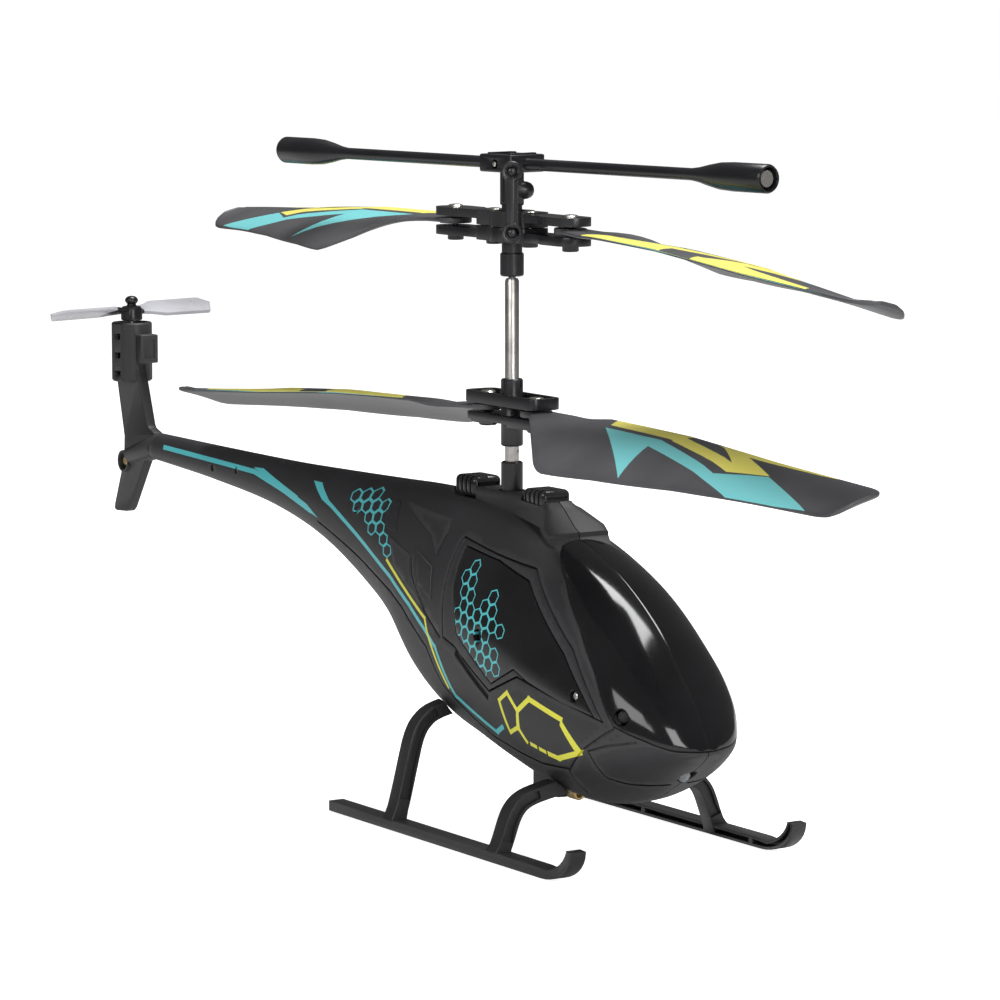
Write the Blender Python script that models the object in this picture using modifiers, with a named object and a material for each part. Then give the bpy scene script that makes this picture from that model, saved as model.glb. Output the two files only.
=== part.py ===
"""Coaxial indoor toy helicopter: fuselage, tail, skids, drive train and two rotors.

+X is the nose, +Y the left side and +Z up; z = 0 is the underside of the skids.
The drawing is in millimetres from the mast axis: MM turns it into Blender's metres,
and the "mast" empty carries the whole model to its place in the world.
"""
import math

import bmesh
import bpy
from mathutils import Matrix, Vector

# ---------------------------------------------------------------- driving dimensions, mm
MM = 0.001
MAST_X = 14.690                 # mast axis ahead of the middle of the object's length
GAP = 0.3                       # clearance kept between neighbouring pieces
WALL = 1.0                      # fuselage shell thickness
WELD = 0.0001                   # points closer than this become one

# Fuselage stations: x, underside z, top z, half width.
STATIONS = (
    (-100, 39.2, 43.3, 1.9), (-80, 38.0, 43.1, 2.5), (-60, 36.0, 43.0, 3.4), (-45, 32.8, 43.2, 4.7),
    (-30, 27.4, 43.5, 6.8), (-20, 22.8, 43.7, 8.8), (-12, 16.5, 43.6, 10.4), (-4, 12.8, 43.2, 11.6),
    (4, 10.8, 42.6, 12.3), (12, 8.9, 41.5, 12.7), (20, 7.3, 38.9, 12.6), (27, 6.7, 35.7, 11.9),
    (33, 7.7, 31.7, 10.8), (38, 10.0, 27.4, 9.6), (42, 12.6, 23.2, 7.4), (45, 14.6, 19.0, 4.2),
    (46.1, 15.6, 16.6, 1.2),
)
BELLY_SHARE = 0.45              # the widest line's height between underside and top
SECTION_POWER = 2.3             # 2 is an ellipse, larger is boxier
CANOPY_EDGE = (
    (15.8, 46), (16.4, 40.3), (17.2, 39.4), (23.5, 35.3), (29, 30.6), (33.8, 25.4), (38.3, 19.1),
    (42.3, 17.5), (44.9, 16.3), (49, 15.5), (49, 46),
)
DOOR_EDGE = (
    (1.6, 26.0), (0.9, 32.0), (0.9, 39.4), (18.0, 37.0), (29.8, 28.0), (37.0, 19.4), (20.6, 23.2),
    (14.0, 20.4), (4.8, 25.2),
)
PYLON_EDGE = (
    (-16.5, 42.5), (-12.4, 43.6), (-5, 44.9), (5, 44.9), (12.6, 43.8), (19.4, 40.2), (12, 38), (-12, 40),
)
PYLON_HALF_WIDTH = 2.6
VENT_X = 8.5                    # the two roof vents stand this far from the mast
VENT_SIZE = (5.2, 4.6, 2.8)
VENT_Z = 44.7
LAMP_R, LAMP_AT = 1.0, (40.4, 0, 12.4)

# Skids
RAIL_REAR, RAIL_FRONT = -17.8, 42.3
RAIL_OUTER, RAIL_WIDTH, RAIL_HEIGHT = 18.4, 2.3, 1.4
TIP_HEIGHT = 4.4
LEG_LENGTH = 2.4                # along x
FRONT_LEG_X, REAR_LEG_X = 23.4, -2.4
# Leg centre lines as (y, z) from the rail to the belly.
FRONT_LEG = ((17.3, 0.8), (15.6, 5.4), (14.0, 7.4), (11.5, 8.4), (4.0, 9.6))
REAR_LEG = ((17.3, 0.8), (14.8, 10.0), (13.2, 14.0), (11.2, 15.6), (6.0, 16.4))
LEG_THICKNESS = 2.0

# Mast and drive
INNER_R = 0.5
OUTER_R, OUTER_BORE_R = 0.95, 0.7
BUSH_R, BUSH_BORE_R = 1.48, 1.15
OUTER_TOP, BUSH_TOP = 73.5, 48.8
TOOTH_MODULE = 0.45
PINION_TEETH, OUTER_GEAR_TEETH, INNER_GEAR_TEETH = 9, 32, 42
INNER_GEAR_Z, OUTER_GEAR_Z, GEAR_FACE = 21.0, 25.0, 2.0
MOTOR_R, MOTOR_Z0, MOTOR_Z1 = 2.9, 29.2, 39.6

# Rotors
ROTOR_RADIUS = 85.0
LOWER_BLADE_Z, UPPER_BLADE_Z = 55.75, 80.6
LOWER_PIVOT, UPPER_PIVOT = 6.0, 14.2
BLADE_THICKNESS = 0.6
LUG_R, LUG_THICKNESS, PIVOT_HOLE_R = 2.2, 0.8, 0.8
ROOT_CORNER = Vector((29.1, 14.0))  # the wide inner corner of a blade: radius, distance behind
LEAD_HEIGHT = ((14, -0.3), (20, 0.35), (28, 0.35), (40, 0.25), (60, -0.75), (ROTOR_RADIUS, -1.6))
PITCH = ((27, 0.03), (55, -0.14), (83, 0.22))
CAMBER = ((27, 0.014), (55, 0.032), (83, 0.013))
SCREW_HEAD_R, SCREW_HEAD_H, SCREW_R = 1.1, 0.5, 0.5
INNER_SCREW_X = 4.4             # the upper hub's middle screws
HUB_PIN_Z, FLYBAR_Z = 80.5, 88.9
FLYBAR_HALF = 50.4
FLYBAR_TURN = math.radians(6.9)  # the bar's right end stands a little to the left of the nose line
LINK_TURN = math.radians(-32.8)  # direction of the link rod from the mast
LINK_REACH = 6.5
LINK_TOP, LINK_BOTTOM = 88.15, 80.0

# Tail
TAIL_X = -108.7
TAIL_MOTOR_R = 2.1
TAIL_CASE_R, TAIL_CASE_BORE_R = 3.12, 2.4
TAIL_CASE_Z0, TAIL_CASE_Z1 = 50.7, 59.8
TAIL_ROTOR_Z, TAIL_ROTOR_R = 61.8, 16.5
TAIL_TURN = math.radians(-78.0)
TAIL_PITCH = math.radians(18.0)
FIN_EDGE = (
    (-113.9, 58.6), (-112.9, 52.5), (-110.1, 42.0), (-110.3, 38.5), (-113.9, 30.0), (-109.2, 30.2), (-103.4, 38.9),
    (-100.4, 39.2), (-100.4, 43.3), (-102.4, 44.0), (-105.4, 52.5),
)
FIN_THICKNESS = 1.6

# colour (linear), roughness, metallic
FINISHES = {
    "matte_black": ((0.018, 0.018, 0.019), 0.55, 0.0),
    "gloss_black": ((0.012, 0.012, 0.014), 0.08, 0.0),
    "blade_grey": ((0.07, 0.07, 0.075), 0.45, 0.0),
    "tail_grey": ((0.45, 0.47, 0.48), 0.2, 0.0),
    "steel": ((0.6, 0.58, 0.55), 0.3, 1.0),
    "brass": ((0.7, 0.5, 0.2), 0.3, 1.0),
    "white_nylon": ((0.75, 0.75, 0.72), 0.5, 0.0),
    "foil": ((0.55, 0.56, 0.58), 0.35, 0.8),
    "board_green": ((0.02, 0.12, 0.05), 0.5, 0.0),
    "clear_lens": ((0.8, 0.8, 0.75), 0.05, 0.0),
}

for stale in list(bpy.data.objects):
    bpy.data.objects.remove(stale, do_unlink=True)
PARTS = bpy.data.collections.new("toy_helicopter")
bpy.context.scene.collection.children.link(PARTS)
MAST = bpy.data.objects.new("mast", None)
MAST.location = (MAST_X * MM, 0, 0)
PARTS.objects.link(MAST)


# ---------------------------------------------------------------- making and joining solids
def finish_material(name):
    """The Principled material of one finish, made once."""
    material = bpy.data.materials.get(name)
    if material is None:
        colour, roughness, metallic = FINISHES[name]
        material = bpy.data.materials.new(name)
        material.use_nodes = True
        shader = material.node_tree.nodes["Principled BSDF"]
        shader.inputs["Base Color"].default_value = (*colour, 1)
        shader.inputs["Roughness"].default_value = roughness
        shader.inputs["Metallic"].default_value = metallic
    return material


def solid(name, bm):
    """An object from a bmesh drawn in millimetres from the mast; the bmesh is freed."""
    bmesh.ops.recalc_face_normals(bm, faces=bm.faces)
    mesh = bpy.data.meshes.new(name)
    bm.to_mesh(mesh)
    bm.free()
    obj = bpy.data.objects.new(name, mesh)
    PARTS.objects.link(obj)
    return obj


def bake(obj):
    """Replace an object's mesh by its evaluated one, with its modifiers applied."""
    mesh = bpy.data.meshes.new_from_object(obj.evaluated_get(bpy.context.evaluated_depsgraph_get()))
    obj.modifiers.clear()
    obj.data = mesh
    return obj


def combine(obj, others, operation):
    """Cut, join or intersect obj with each other solid, which is used up."""
    for other in others:
        modifier = obj.modifiers.new("combine", "BOOLEAN")
        modifier.operation = operation
        modifier.solver = "EXACT"
        modifier.object = other
        bake(obj)
        bpy.data.objects.remove(other, do_unlink=True)
    return obj


def cut(obj, *others):
    return combine(obj, others, "DIFFERENCE")


def join(obj, *others):
    return combine(obj, others, "UNION")


def keep(obj, *others):
    return combine(obj, others, "INTERSECT")


def box(name, size, centre, turn=0.0, bevel=0.0):
    """A box with its middle at centre, turned about the vertical, its edges bevelled."""
    bm = bmesh.new()
    bmesh.ops.create_cube(bm, size=1)
    bmesh.ops.scale(bm, vec=size, verts=bm.verts)
    if bevel:
        bmesh.ops.bevel(bm, geom=list(bm.edges), offset=bevel, segments=1, affect="EDGES")
    stand = Matrix.Translation(centre) @ Matrix.Rotation(turn, 4, "Z")
    bmesh.ops.transform(bm, matrix=stand, verts=bm.verts)
    return solid(name, bm)


def rod(name, radius, start, end, segments=16, end_radius=None):
    """A cylinder or cone between two points."""
    start, end = Vector(start), Vector(end)
    bm = bmesh.new()
    bmesh.ops.create_cone(bm, cap_ends=True, segments=segments, radius1=radius,
                          radius2=radius if end_radius is None else end_radius, depth=(end - start).length)
    turn = (end - start).to_track_quat("Z", "Y").to_matrix().to_4x4()
    bmesh.ops.transform(bm, matrix=Matrix.Translation((start + end) / 2) @ turn, verts=bm.verts)
    return solid(name, bm)


def upright(name, radius, z0, z1, x=0.0, y=0.0, segments=16):
    return rod(name, radius, (x, y, z0), (x, y, z1), segments)


def ball(name, radius, centre):
    bm = bmesh.new()
    bmesh.ops.create_uvsphere(bm, u_segments=12, v_segments=8, radius=radius)
    bmesh.ops.translate(bm, vec=centre, verts=bm.verts)
    return solid(name, bm)


def turned(name, profile, matrix=None, segments=20):
    """A turned solid: (radius, height) pairs from the top of the axis down its outer side."""
    bm = bmesh.new()
    verts = [bm.verts.new((r, 0, z)) for r, z in profile]
    for a, b in zip(verts, verts[1:]):
        bm.edges.new((a, b))
    mesh = bpy.data.meshes.new(name)
    bm.to_mesh(mesh)
    bm.free()
    obj = bpy.data.objects.new(name, mesh)
    PARTS.objects.link(obj)
    screw = obj.modifiers.new("turn", "SCREW")
    screw.steps = screw.render_steps = segments
    screw.use_merge_vertices = True
    screw.merge_threshold = WELD
    bake(obj)
    if matrix is not None:
        obj.data.transform(matrix)
    return obj


def plate(name, outline, low, high, axis="Y"):
    """A flat outline filled and extruded from low to high along an axis.

    The outline's points are (x, z) for the Y axis, (x, y) for Z and (y, z) for X.
    """
    curve = bpy.data.curves.new(name, "CURVE")
    curve.dimensions = "2D"
    curve.fill_mode = "BOTH"
    curve.extrude = (high - low) / 2
    spline = curve.splines.new("POLY")
    spline.points.add(len(outline) - 1)
    for point, (a, b) in zip(spline.points, outline):
        point.co = (a, b, 0, 1)
    spline.use_cyclic_u = True
    flat = bpy.data.objects.new(name, curve)
    PARTS.objects.link(flat)
    filled = flat.evaluated_get(bpy.context.evaluated_depsgraph_get())
    bm = bmesh.new()
    bm.from_mesh(bpy.data.meshes.new_from_object(filled))
    bpy.data.objects.remove(flat)
    bmesh.ops.remove_doubles(bm, verts=bm.verts, dist=WELD)
    stand = {"X": Matrix(((0, 0, 1), (1, 0, 0), (0, 1, 0))), "Y": Matrix(((1, 0, 0), (0, 0, -1), (0, 1, 0))),
             "Z": Matrix.Identity(3)}[axis]
    middle = Matrix.Translation([(low + high) / 2 if letter == axis else 0 for letter in "XYZ"])
    bmesh.ops.transform(bm, matrix=middle @ stand.to_4x4(), verts=bm.verts)
    return solid(name, bm)


def inset(outline, distance):
    """The outline moved inwards all round by a distance."""
    area = sum(a[0] * b[1] - b[0] * a[1] for a, b in zip(outline, outline[1:] + outline[:1]))
    side = 1 if area > 0 else -1
    moved = []
    for before, here, after in zip(outline[-1:] + outline[:-1], outline, outline[1:] + outline[:1]):
        here = Vector(here)
        first, second = (here - Vector(before)).normalized(), (Vector(after) - here).normalized()
        normals = [Vector((-d.y, d.x)) * side for d in (first, second)]
        middle = (normals[0] + normals[1]).normalized()
        moved.append(tuple(here + middle * distance / max(middle.dot(normals[0]), 0.5)))
    return tuple(moved)


def place(obj, finish, origin=(0, 0, 0)):
    """Give a finished sub-part its material, its origin and its parent."""
    origin = Vector(origin)
    obj.data.transform(Matrix.Scale(MM, 4) @ Matrix.Translation(-origin))
    obj.data.materials.clear()
    obj.data.materials.append(finish_material(finish))
    obj.data.shade_smooth()
    obj.data.set_sharp_from_angle(angle=math.radians(35))
    obj.parent = MAST
    obj.location = origin * MM
    return obj


def mirrored(obj, name):
    """The same sub-part on the other side of the object's middle plane."""
    bm = bmesh.new()
    bm.from_mesh(obj.data)
    bmesh.ops.scale(bm, vec=(1, -1, 1), verts=bm.verts)
    bmesh.ops.reverse_faces(bm, faces=bm.faces)
    mesh = bpy.data.meshes.new(name)
    bm.to_mesh(mesh)
    bm.free()
    twin = bpy.data.objects.new(name, mesh)
    twin.data.materials.append(obj.data.materials[0])
    PARTS.objects.link(twin)
    twin.parent = MAST
    twin.location = (obj.location.x, -obj.location.y, obj.location.z)
    return twin


# ---------------------------------------------------------------- fuselage
def hull(name, grow=0.0, nose_back=0.0, sides=24):
    """The fuselage's outer form lofted through its stations, grown or shrunk by a distance."""
    bm = bmesh.new()
    rings = []
    for x, bottom, top, width in STATIONS:
        x -= nose_back * min(max((x + 10) / 50, 0), 1)
        bottom, top, width = bottom - grow, top + grow, max(width + grow, 0.3)
        if top - bottom < 0.6:
            bottom, top = (bottom + top) / 2 - 0.3, (bottom + top) / 2 + 0.3
        middle = bottom + BELLY_SHARE * (top - bottom)
        ring = []
        for k in range(sides):
            angle = 2 * math.pi * (k + 0.5) / sides
            c, s = math.cos(angle), math.sin(angle)
            y = width * math.copysign(abs(c) ** (2 / SECTION_POWER), c)
            reach = top - middle if s > 0 else middle - bottom
            z = middle + reach * math.copysign(abs(s) ** (2 / SECTION_POWER), s)
            ring.append(bm.verts.new((x, y, z)))
        rings.append(ring)
    for a, b in zip(rings, rings[1:]):
        for k in range(sides):
            bm.faces.new((a[k], a[(k + 1) % sides], b[(k + 1) % sides], b[k]))
    bm.faces.new(rings[0])
    bm.faces.new(rings[-1])
    return solid(name, bm)


def skin(name):
    """The hollow fuselage skin."""
    return cut(hull(name), hull("inside", -WALL, WALL))


def make_fuselage():
    right = join(hull("right_shell"), plate("pylon", PYLON_EDGE, -PYLON_HALF_WIDTH, PYLON_HALF_WIDTH))
    cut(right, hull("inside", -WALL, WALL))
    cut(right, plate("canopy_opening", CANOPY_EDGE, -30, 30), plate("door_opening", DOOR_EDGE, -30, -3))
    cut(right, upright("mast_hole", BUSH_R + GAP, 30, 50))
    for x in (-VENT_X, VENT_X):
        size = [s + 2 * GAP for s in VENT_SIZE]
        cut(right, box("vent_seat", size, (x, 0, VENT_Z)))
    cut(right, ball("lamp_hole", LAMP_R + GAP, LAMP_AT))
    cut(right, box("other_half", (200, 40, 80), (-20, 20 - GAP / 2, 30)))
    place(right, "matte_black")
    mirrored(right, "left_shell")

    canopy = keep(skin("canopy"), plate("canopy_region", inset(CANOPY_EDGE, GAP), -30, 30))
    for side in (-1, 1):
        cut(canopy, rod("canopy_hole", 1.1, (36, side * 5.5, 20.3), (43, side * 12.5, 20.3), 12))
    place(canopy, "gloss_black")

    door = keep(skin("right_door"), plate("door_region", inset(DOOR_EDGE, GAP), -30, -4))
    place(door, "gloss_black")
    mirrored(door, "left_door")
    place(ball("lamp_lens", LAMP_R, LAMP_AT), "clear_lens")


def make_vents():
    for name, x in (("rear_vent", -VENT_X), ("front_vent", VENT_X)):
        vent = box(name, VENT_SIZE, (x, 0, VENT_Z), bevel=0.5)
        for rib in (-1, 0, 1):
            cut(vent, box("groove", (0.4, 9, 0.8), (x + rib * 1.3, 0, VENT_Z + VENT_SIZE[2] / 2)))
        cut(vent, upright("mast_clearance", BUSH_R + GAP, 30, 60))
        place(vent, "gloss_black")


# ---------------------------------------------------------------- skids
def arch(name, line, thickness, x):
    """A skid leg: a band of one thickness along a (y, z) line, extruded along x."""
    outer, inner = [], []
    points = [Vector(p) for p in line]
    for k, point in enumerate(points):
        ahead = (points[min(k + 1, len(points) - 1)] - points[max(k - 1, 0)]).normalized()
        normal = Vector((-ahead.y, ahead.x)) * thickness / 2
        outer.append(tuple(point + normal))
        inner.append(tuple(point - normal))
    return plate(name, tuple(outer + inner[::-1]), x - LEG_LENGTH / 2, x + LEG_LENGTH / 2, "X")


def make_skids():
    start = RAIL_FRONT - 7.0
    curve = [(start + 7.0 * math.sin(t), TIP_HEIGHT * (1 - math.cos(t))) for t in (0.35, 0.7, 1.05, 1.35)]
    under = [(RAIL_REAR, 0.0), (start, 0.0)] + curve + [(RAIL_FRONT, TIP_HEIGHT)]
    over = [(RAIL_FRONT - 1.4, TIP_HEIGHT + 0.1)] + [(x - 1.0, z + 1.0) for x, z in reversed(curve)]
    outline = under + over + [(start - 0.8, RAIL_HEIGHT), (RAIL_REAR, RAIL_HEIGHT)]
    skid = plate("left_skid", outline, RAIL_OUTER - RAIL_WIDTH, RAIL_OUTER)
    join(skid, arch("front", FRONT_LEG, LEG_THICKNESS, FRONT_LEG_X))
    join(skid, arch("rear", REAR_LEG, LEG_THICKNESS, REAR_LEG_X))
    cut(skid, hull("belly", GAP, -GAP))
    place(skid, "matte_black")
    mirrored(skid, "right_skid")


# ---------------------------------------------------------------- tail
def make_tail():
    fin = join(plate("tail_fin", FIN_EDGE, -FIN_THICKNESS / 2, FIN_THICKNESS / 2),
               upright("case", TAIL_CASE_R, TAIL_CASE_Z0, TAIL_CASE_Z1, TAIL_X, segments=20),
               box("clip", (2.6, 3.0, 4.4), (TAIL_X + 3.4, 0.6, 55.9)),
               rod("boom_root", 1.9, (-100.5, 0, 41.2), (-109.5, 0, 38.7), 16, 1.5),
               rod("screw_boss", 1.5, (-109.7, -1.8, 38.1), (-109.7, 1.8, 38.1), 16))
    cut(fin, upright("motor_bore", TAIL_CASE_BORE_R, TAIL_CASE_Z0 + 1, TAIL_CASE_Z1 + 1, TAIL_X, segments=20))
    place(fin, "matte_black")
    motor = join(upright("tail_motor", TAIL_MOTOR_R, TAIL_CASE_Z0 + 1.3, TAIL_CASE_Z1 + 0.3, TAIL_X),
                 upright("spindle", 0.3, TAIL_CASE_Z1, TAIL_ROTOR_Z + 0.4, TAIL_X, segments=8))
    place(motor, "steel")
    cap = ((0, 63.6), (0.6, 63.45), (1.1, 62.9), (1.3, 62.2), (1.5, 61.8), (1.5, 61.0), (0, 61.0))
    rotor = turned("tail_rotor", cap, Matrix.Translation((TAIL_X, 0, 0)), 14)
    edge = ((0.6, -0.8), (3.2, -2.5), (TAIL_ROTOR_R - 2.6, -2.7), (TAIL_ROTOR_R, 0.6),
            (TAIL_ROTOR_R - 1.2, 2.6), (3.6, 2.6), (0.6, 0.8))
    for half in (0, math.pi):
        turn = Matrix.Translation((TAIL_X, 0, TAIL_ROTOR_Z - 0.2)) @ Matrix.Rotation(TAIL_TURN + half, 4, "Z")
        blade = plate("tail_blade", edge, -0.3, 0.3, "Z")
        blade.data.transform(turn @ Matrix.Rotation(TAIL_PITCH, 4, "X"))
        join(rotor, blade)
    cut(rotor, upright("spindle_hole", 0.6, 60, TAIL_ROTOR_Z + 0.7, TAIL_X, segments=8))
    place(rotor, "tail_grey", (TAIL_X, 0, TAIL_ROTOR_Z))


# ---------------------------------------------------------------- drive train inside the cabin
def gear(name, teeth, z0, z1, centre_x, phase):
    """A spur gear on an upright axis; phase turns it by a share of one tooth."""
    pitch = teeth * TOOTH_MODULE / 2
    outline = []
    for tooth in range(teeth):
        for offset, radius in ((-0.32, -1.15), (-0.14, 0.8), (0.14, 0.8), (0.32, -1.15)):
            angle = 2 * math.pi * (tooth + offset + phase) / teeth
            reach = pitch + radius * TOOTH_MODULE
            outline.append((centre_x + reach * math.cos(angle), reach * math.sin(angle)))
    return plate(name, tuple(outline), z0, z1, "Z")


def make_drive():
    outer_pitch = (OUTER_GEAR_TEETH + PINION_TEETH) * TOOTH_MODULE / 2
    inner_pitch = (INNER_GEAR_TEETH + PINION_TEETH) * TOOTH_MODULE / 2
    front_x, rear_x = outer_pitch, -inner_pitch
    outer_gear = cut(gear("outer_gear", OUTER_GEAR_TEETH, OUTER_GEAR_Z, OUTER_GEAR_Z + GEAR_FACE, 0, 0),
                     upright("bore", OUTER_R + 0.2, 0, 60))
    place(outer_gear, "white_nylon")
    inner_gear = cut(gear("inner_gear", INNER_GEAR_TEETH, INNER_GEAR_Z, INNER_GEAR_Z + GEAR_FACE, 0, 0),
                     upright("bore", INNER_R + 0.2, 0, 60))
    place(inner_gear, "white_nylon")
    # The front pinion stands on the +X side of its gear, the rear one on the -X side.
    pinions = (("front_pinion", front_x, OUTER_GEAR_Z, 0.0), ("rear_pinion", rear_x, INNER_GEAR_Z, 0.5))
    for name, x, z, phase in pinions:
        pinion = cut(gear(name, PINION_TEETH, z - 0.3, z + GEAR_FACE + 0.3, x, phase),
                     upright("bore", 0.6, 0, 60, x, segments=10))
        place(pinion, "brass", (x, 0, z))
    for name, x, z in (("front_motor", front_x, OUTER_GEAR_Z), ("rear_motor", rear_x, INNER_GEAR_Z)):
        motor = join(upright(name, MOTOR_R, MOTOR_Z0, MOTOR_Z1, x),
                     upright("spindle", 0.35, z, MOTOR_Z0 + 1, x, segments=10))
        place(motor, "steel")
    place(cut(upright("outer_shaft", OUTER_R, 24, OUTER_TOP), upright("bore", OUTER_BORE_R, 0, 90)), "steel")
    place(upright("inner_shaft", INNER_R, 17.4, 79.6), "steel")
    bush = cut(turned("mast_bush", ((0, BUSH_TOP), (BUSH_R, BUSH_TOP), (BUSH_R, 33), (0, 33))),
               upright("bore", BUSH_BORE_R, 0, 60))
    place(bush, "matte_black")

    frame = box("chassis_frame", (28, 9, 0.9), (-1.0, 0, 28.1))
    join(frame, box("column", (1.2, 9, 10.4), (12.6, 0, 23.3)), box("foot", (23, 9, 0.9), (1.6, 0, 18.6)))
    cut(frame, upright("mast_hole", OUTER_R + GAP, 24, 30), upright("bearing_seat", 1.6, 15, 20))
    for x in (front_x, rear_x):
        cut(frame, upright("spindle_hole", 0.9, 26, 30, x))
    place(frame, "matte_black")
    place(cut(upright("shaft_bearing", 1.3, 17.8, 20.2), upright("bore", INNER_R + 0.2, 0, 60)), "brass")


def make_electrics():
    place(box("battery", (17, 11, 5), (22, 0, 14.8), bevel=0.6), "foil")
    board = join(box("circuit_board", (16, 12, 0.9), (23.4, 0, 23.2)), box("chip", (5, 5, 1.2), (20, 0, 24)))
    place(board, "board_green")
    housing = cut(box("switch_housing", (7.2, 5, 6), (12.5, 0, 8.6), bevel=0.3), hull("belly", GAP, -GAP),
                  box("slot", (4.0, 2.0, 3), (12.5, 0, 5.6)))
    place(housing, "matte_black")
    knob = box("power_switch", (1.6, 1.4, 1.6), (11.6, 0, 5.6))
    place(knob, "matte_black", (11.6, 0, 5.6))
    contact = rod("charge_contact", 0.9, (16.4, -1.2, 6.4), (18.4, -1.2, 6.4), 12)
    place(cut(contact, hull("belly", GAP, -GAP)), "brass")


# ---------------------------------------------------------------- rotors
def value_at(points, position):
    """The value at a position on a line of (position, value) points."""
    if position <= points[0][0]:
        return points[0][1]
    for a, b in zip(points, points[1:]):
        if position <= b[0]:
            break
    return a[1] + (b[1] - a[1]) * min((position - a[0]) / (b[0] - a[0]), 1)


def blade_edges(pivot, radius):
    """How far ahead and behind the span line the blade reaches at a radius."""
    grip = Vector((pivot + (4.5 if pivot > 10 else 2.4), 2.6))
    lead_points = ((pivot, 2.1), (pivot + 4, 2.4), (pivot + 12, 3.5), (69, 2.7), (80, 2.7), (84, 1.9),
                   (ROTOR_RADIUS, 0.8))
    trail_points = ((pivot, 2.1), grip, ROOT_CORNER.lerp(grip, 0.16), ROOT_CORNER - Vector((0.8, 0.9)),
                    (30.6, 13.5), (83.2, 5.3), (84.4, 4.9), (ROTOR_RADIUS, 3.9))
    return value_at(lead_points, radius), value_at(trail_points, radius)


def blade_height(pivot, radius, chord):
    """Height of the blade's middle surface, chord millimetres behind its leading edge."""
    curl = min(max((radius - pivot - 4.6) / 8, 0), 1)
    drop = value_at(PITCH, radius) * chord + value_at(CAMBER, radius) * chord * chord
    return curl * curl * (3 - 2 * curl) * (value_at(LEAD_HEIGHT, radius) - drop)


def make_blade(name, pivot, height, turn, side, sweep, droop):
    """One rotor blade: side is +1 where its trailing edge lies to the left of its outward direction."""
    radii = [pivot, pivot + 2.4, pivot + 4.6, pivot + 7.5]
    radii += [20.0, 23.5, 25.8, 28.0, 30.4, 34, 40, 48, 56, 64, 72, 80, 83.2, 84.4, ROTOR_RADIUS]
    bm = bmesh.new()
    rows = []
    for radius in sorted(radii):
        lead, trail = blade_edges(pivot, radius)
        row = []
        for share in (0, 0.1, 0.25, 0.45, 0.65, 0.83, 1):
            chord = share * (lead + trail)
            height_here = blade_height(pivot, radius, chord)
            row.append(bm.verts.new((radius - pivot, side * (chord - lead), height_here)))
        rows.append(row)
    for a, b in zip(rows, rows[1:]):
        for k in range(6):
            bm.faces.new((a[k], b[k], b[k + 1], a[k + 1]))
    blade = solid(name, bm)
    thicken = blade.modifiers.new("thickness", "SOLIDIFY")
    thicken.thickness = BLADE_THICKNESS
    thicken.offset = 0
    bake(blade)
    join(blade, upright("lug", LUG_R, -LUG_THICKNESS / 2, LUG_THICKNESS / 2, segments=16))
    blade.data.transform(Matrix.Rotation(math.radians(droop), 4, "Y"))
    cut(blade, upright("pivot_hole", PIVOT_HOLE_R, -3, 3, segments=12))
    centre = Matrix.Rotation(math.radians(turn), 4, "Z") @ Vector((pivot, 0, height))
    swing = Matrix.Rotation(math.radians(turn - side * sweep), 4, "Z")
    blade.data.transform(Matrix.Translation(centre) @ swing)
    place(blade, "blade_grey", centre)


def make_screw(name, x, y, head_z, depth):
    screw = join(upright(name, SCREW_HEAD_R, head_z, head_z + SCREW_HEAD_H, x, y, 12),
                 upright("thread", SCREW_R, head_z - depth, head_z + 0.2, x, y, 10))
    for size in ((1.4, 0.3, 0.5), (0.3, 1.4, 0.5)):
        cut(screw, box("cross", size, (x, y, head_z + SCREW_HEAD_H)))
    place(screw, "steel")


def make_lower_rotor():
    hub = upright("lower_hub", 1.5, 50.9, 60.0, segments=20)
    join(hub, box("arms", (17.2, 4.4, 1.1), (0, 0, 54.55), bevel=0.2))
    for x in (-LOWER_PIVOT, LOWER_PIVOT):
        join(hub, upright("boss", 1.25, 53.2, 54.3, x, segments=12))
        cut(hub, upright("thread_hole", PIVOT_HOLE_R, 53.7, 58, x, segments=12))
    place(cut(hub, upright("bore", OUTER_R + 0.2, 0, 90)), "matte_black")
    tray = box("lower_clamp", (17.2, 5.0, 1.6), (0, 0, 57.2), bevel=0.3)
    cut(tray, box("floor", (15.6, 3.4, 1.6), (0, 0, 58.1)), upright("mast_hole", 1.8, 50, 60))
    for x in (-LOWER_PIVOT, LOWER_PIVOT):
        cut(tray, upright("screw_hole", PIVOT_HOLE_R, 50, 60, x, segments=12))
    place(tray, "matte_black")
    for name, x in (("lower_screw_front", LOWER_PIVOT), ("lower_screw_rear", -LOWER_PIVOT)):
        make_screw(name, x, 0, 57.5, 3.3)
    make_blade("lower_blade_front", LOWER_PIVOT, LOWER_BLADE_Z, 0, -1, -2.6, 0.7)
    make_blade("lower_blade_rear", LOWER_PIVOT, LOWER_BLADE_Z, 180, -1, 2.9, 1.7)


def hub_half(name, z0, z1, arm0, arm1):
    """One half of the upper hub: a centre block and two arms with round ends."""
    half = box(name, (11.6, 4.6, z1 - z0), (0, 0, (z0 + z1) / 2), bevel=0.2)
    join(half, upright("middle", 3.05, z0, z1, segments=20))
    for side in (-1, 1):
        join(half, box("arm", (9, 4.4, arm1 - arm0), (side * 9.9, 0, (arm0 + arm1) / 2)),
             upright("end", 2.5, arm0, arm1, side * 14.6, segments=16),
             box("grip", (4.4, 5.0, arm1 - arm0), (side * 12.6, 0, (arm0 + arm1) / 2)))
    cut(half, upright("post_hole", 2.0, 70, 90, segments=20))
    reach = Vector((math.cos(LINK_TURN + math.pi / 2), math.sin(LINK_TURN + math.pi / 2), 0)) * 8
    level = Vector((0, 0, HUB_PIN_Z))
    return cut(half, rod("pin_groove", 0.62, level - reach, level + reach, 12))


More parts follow.
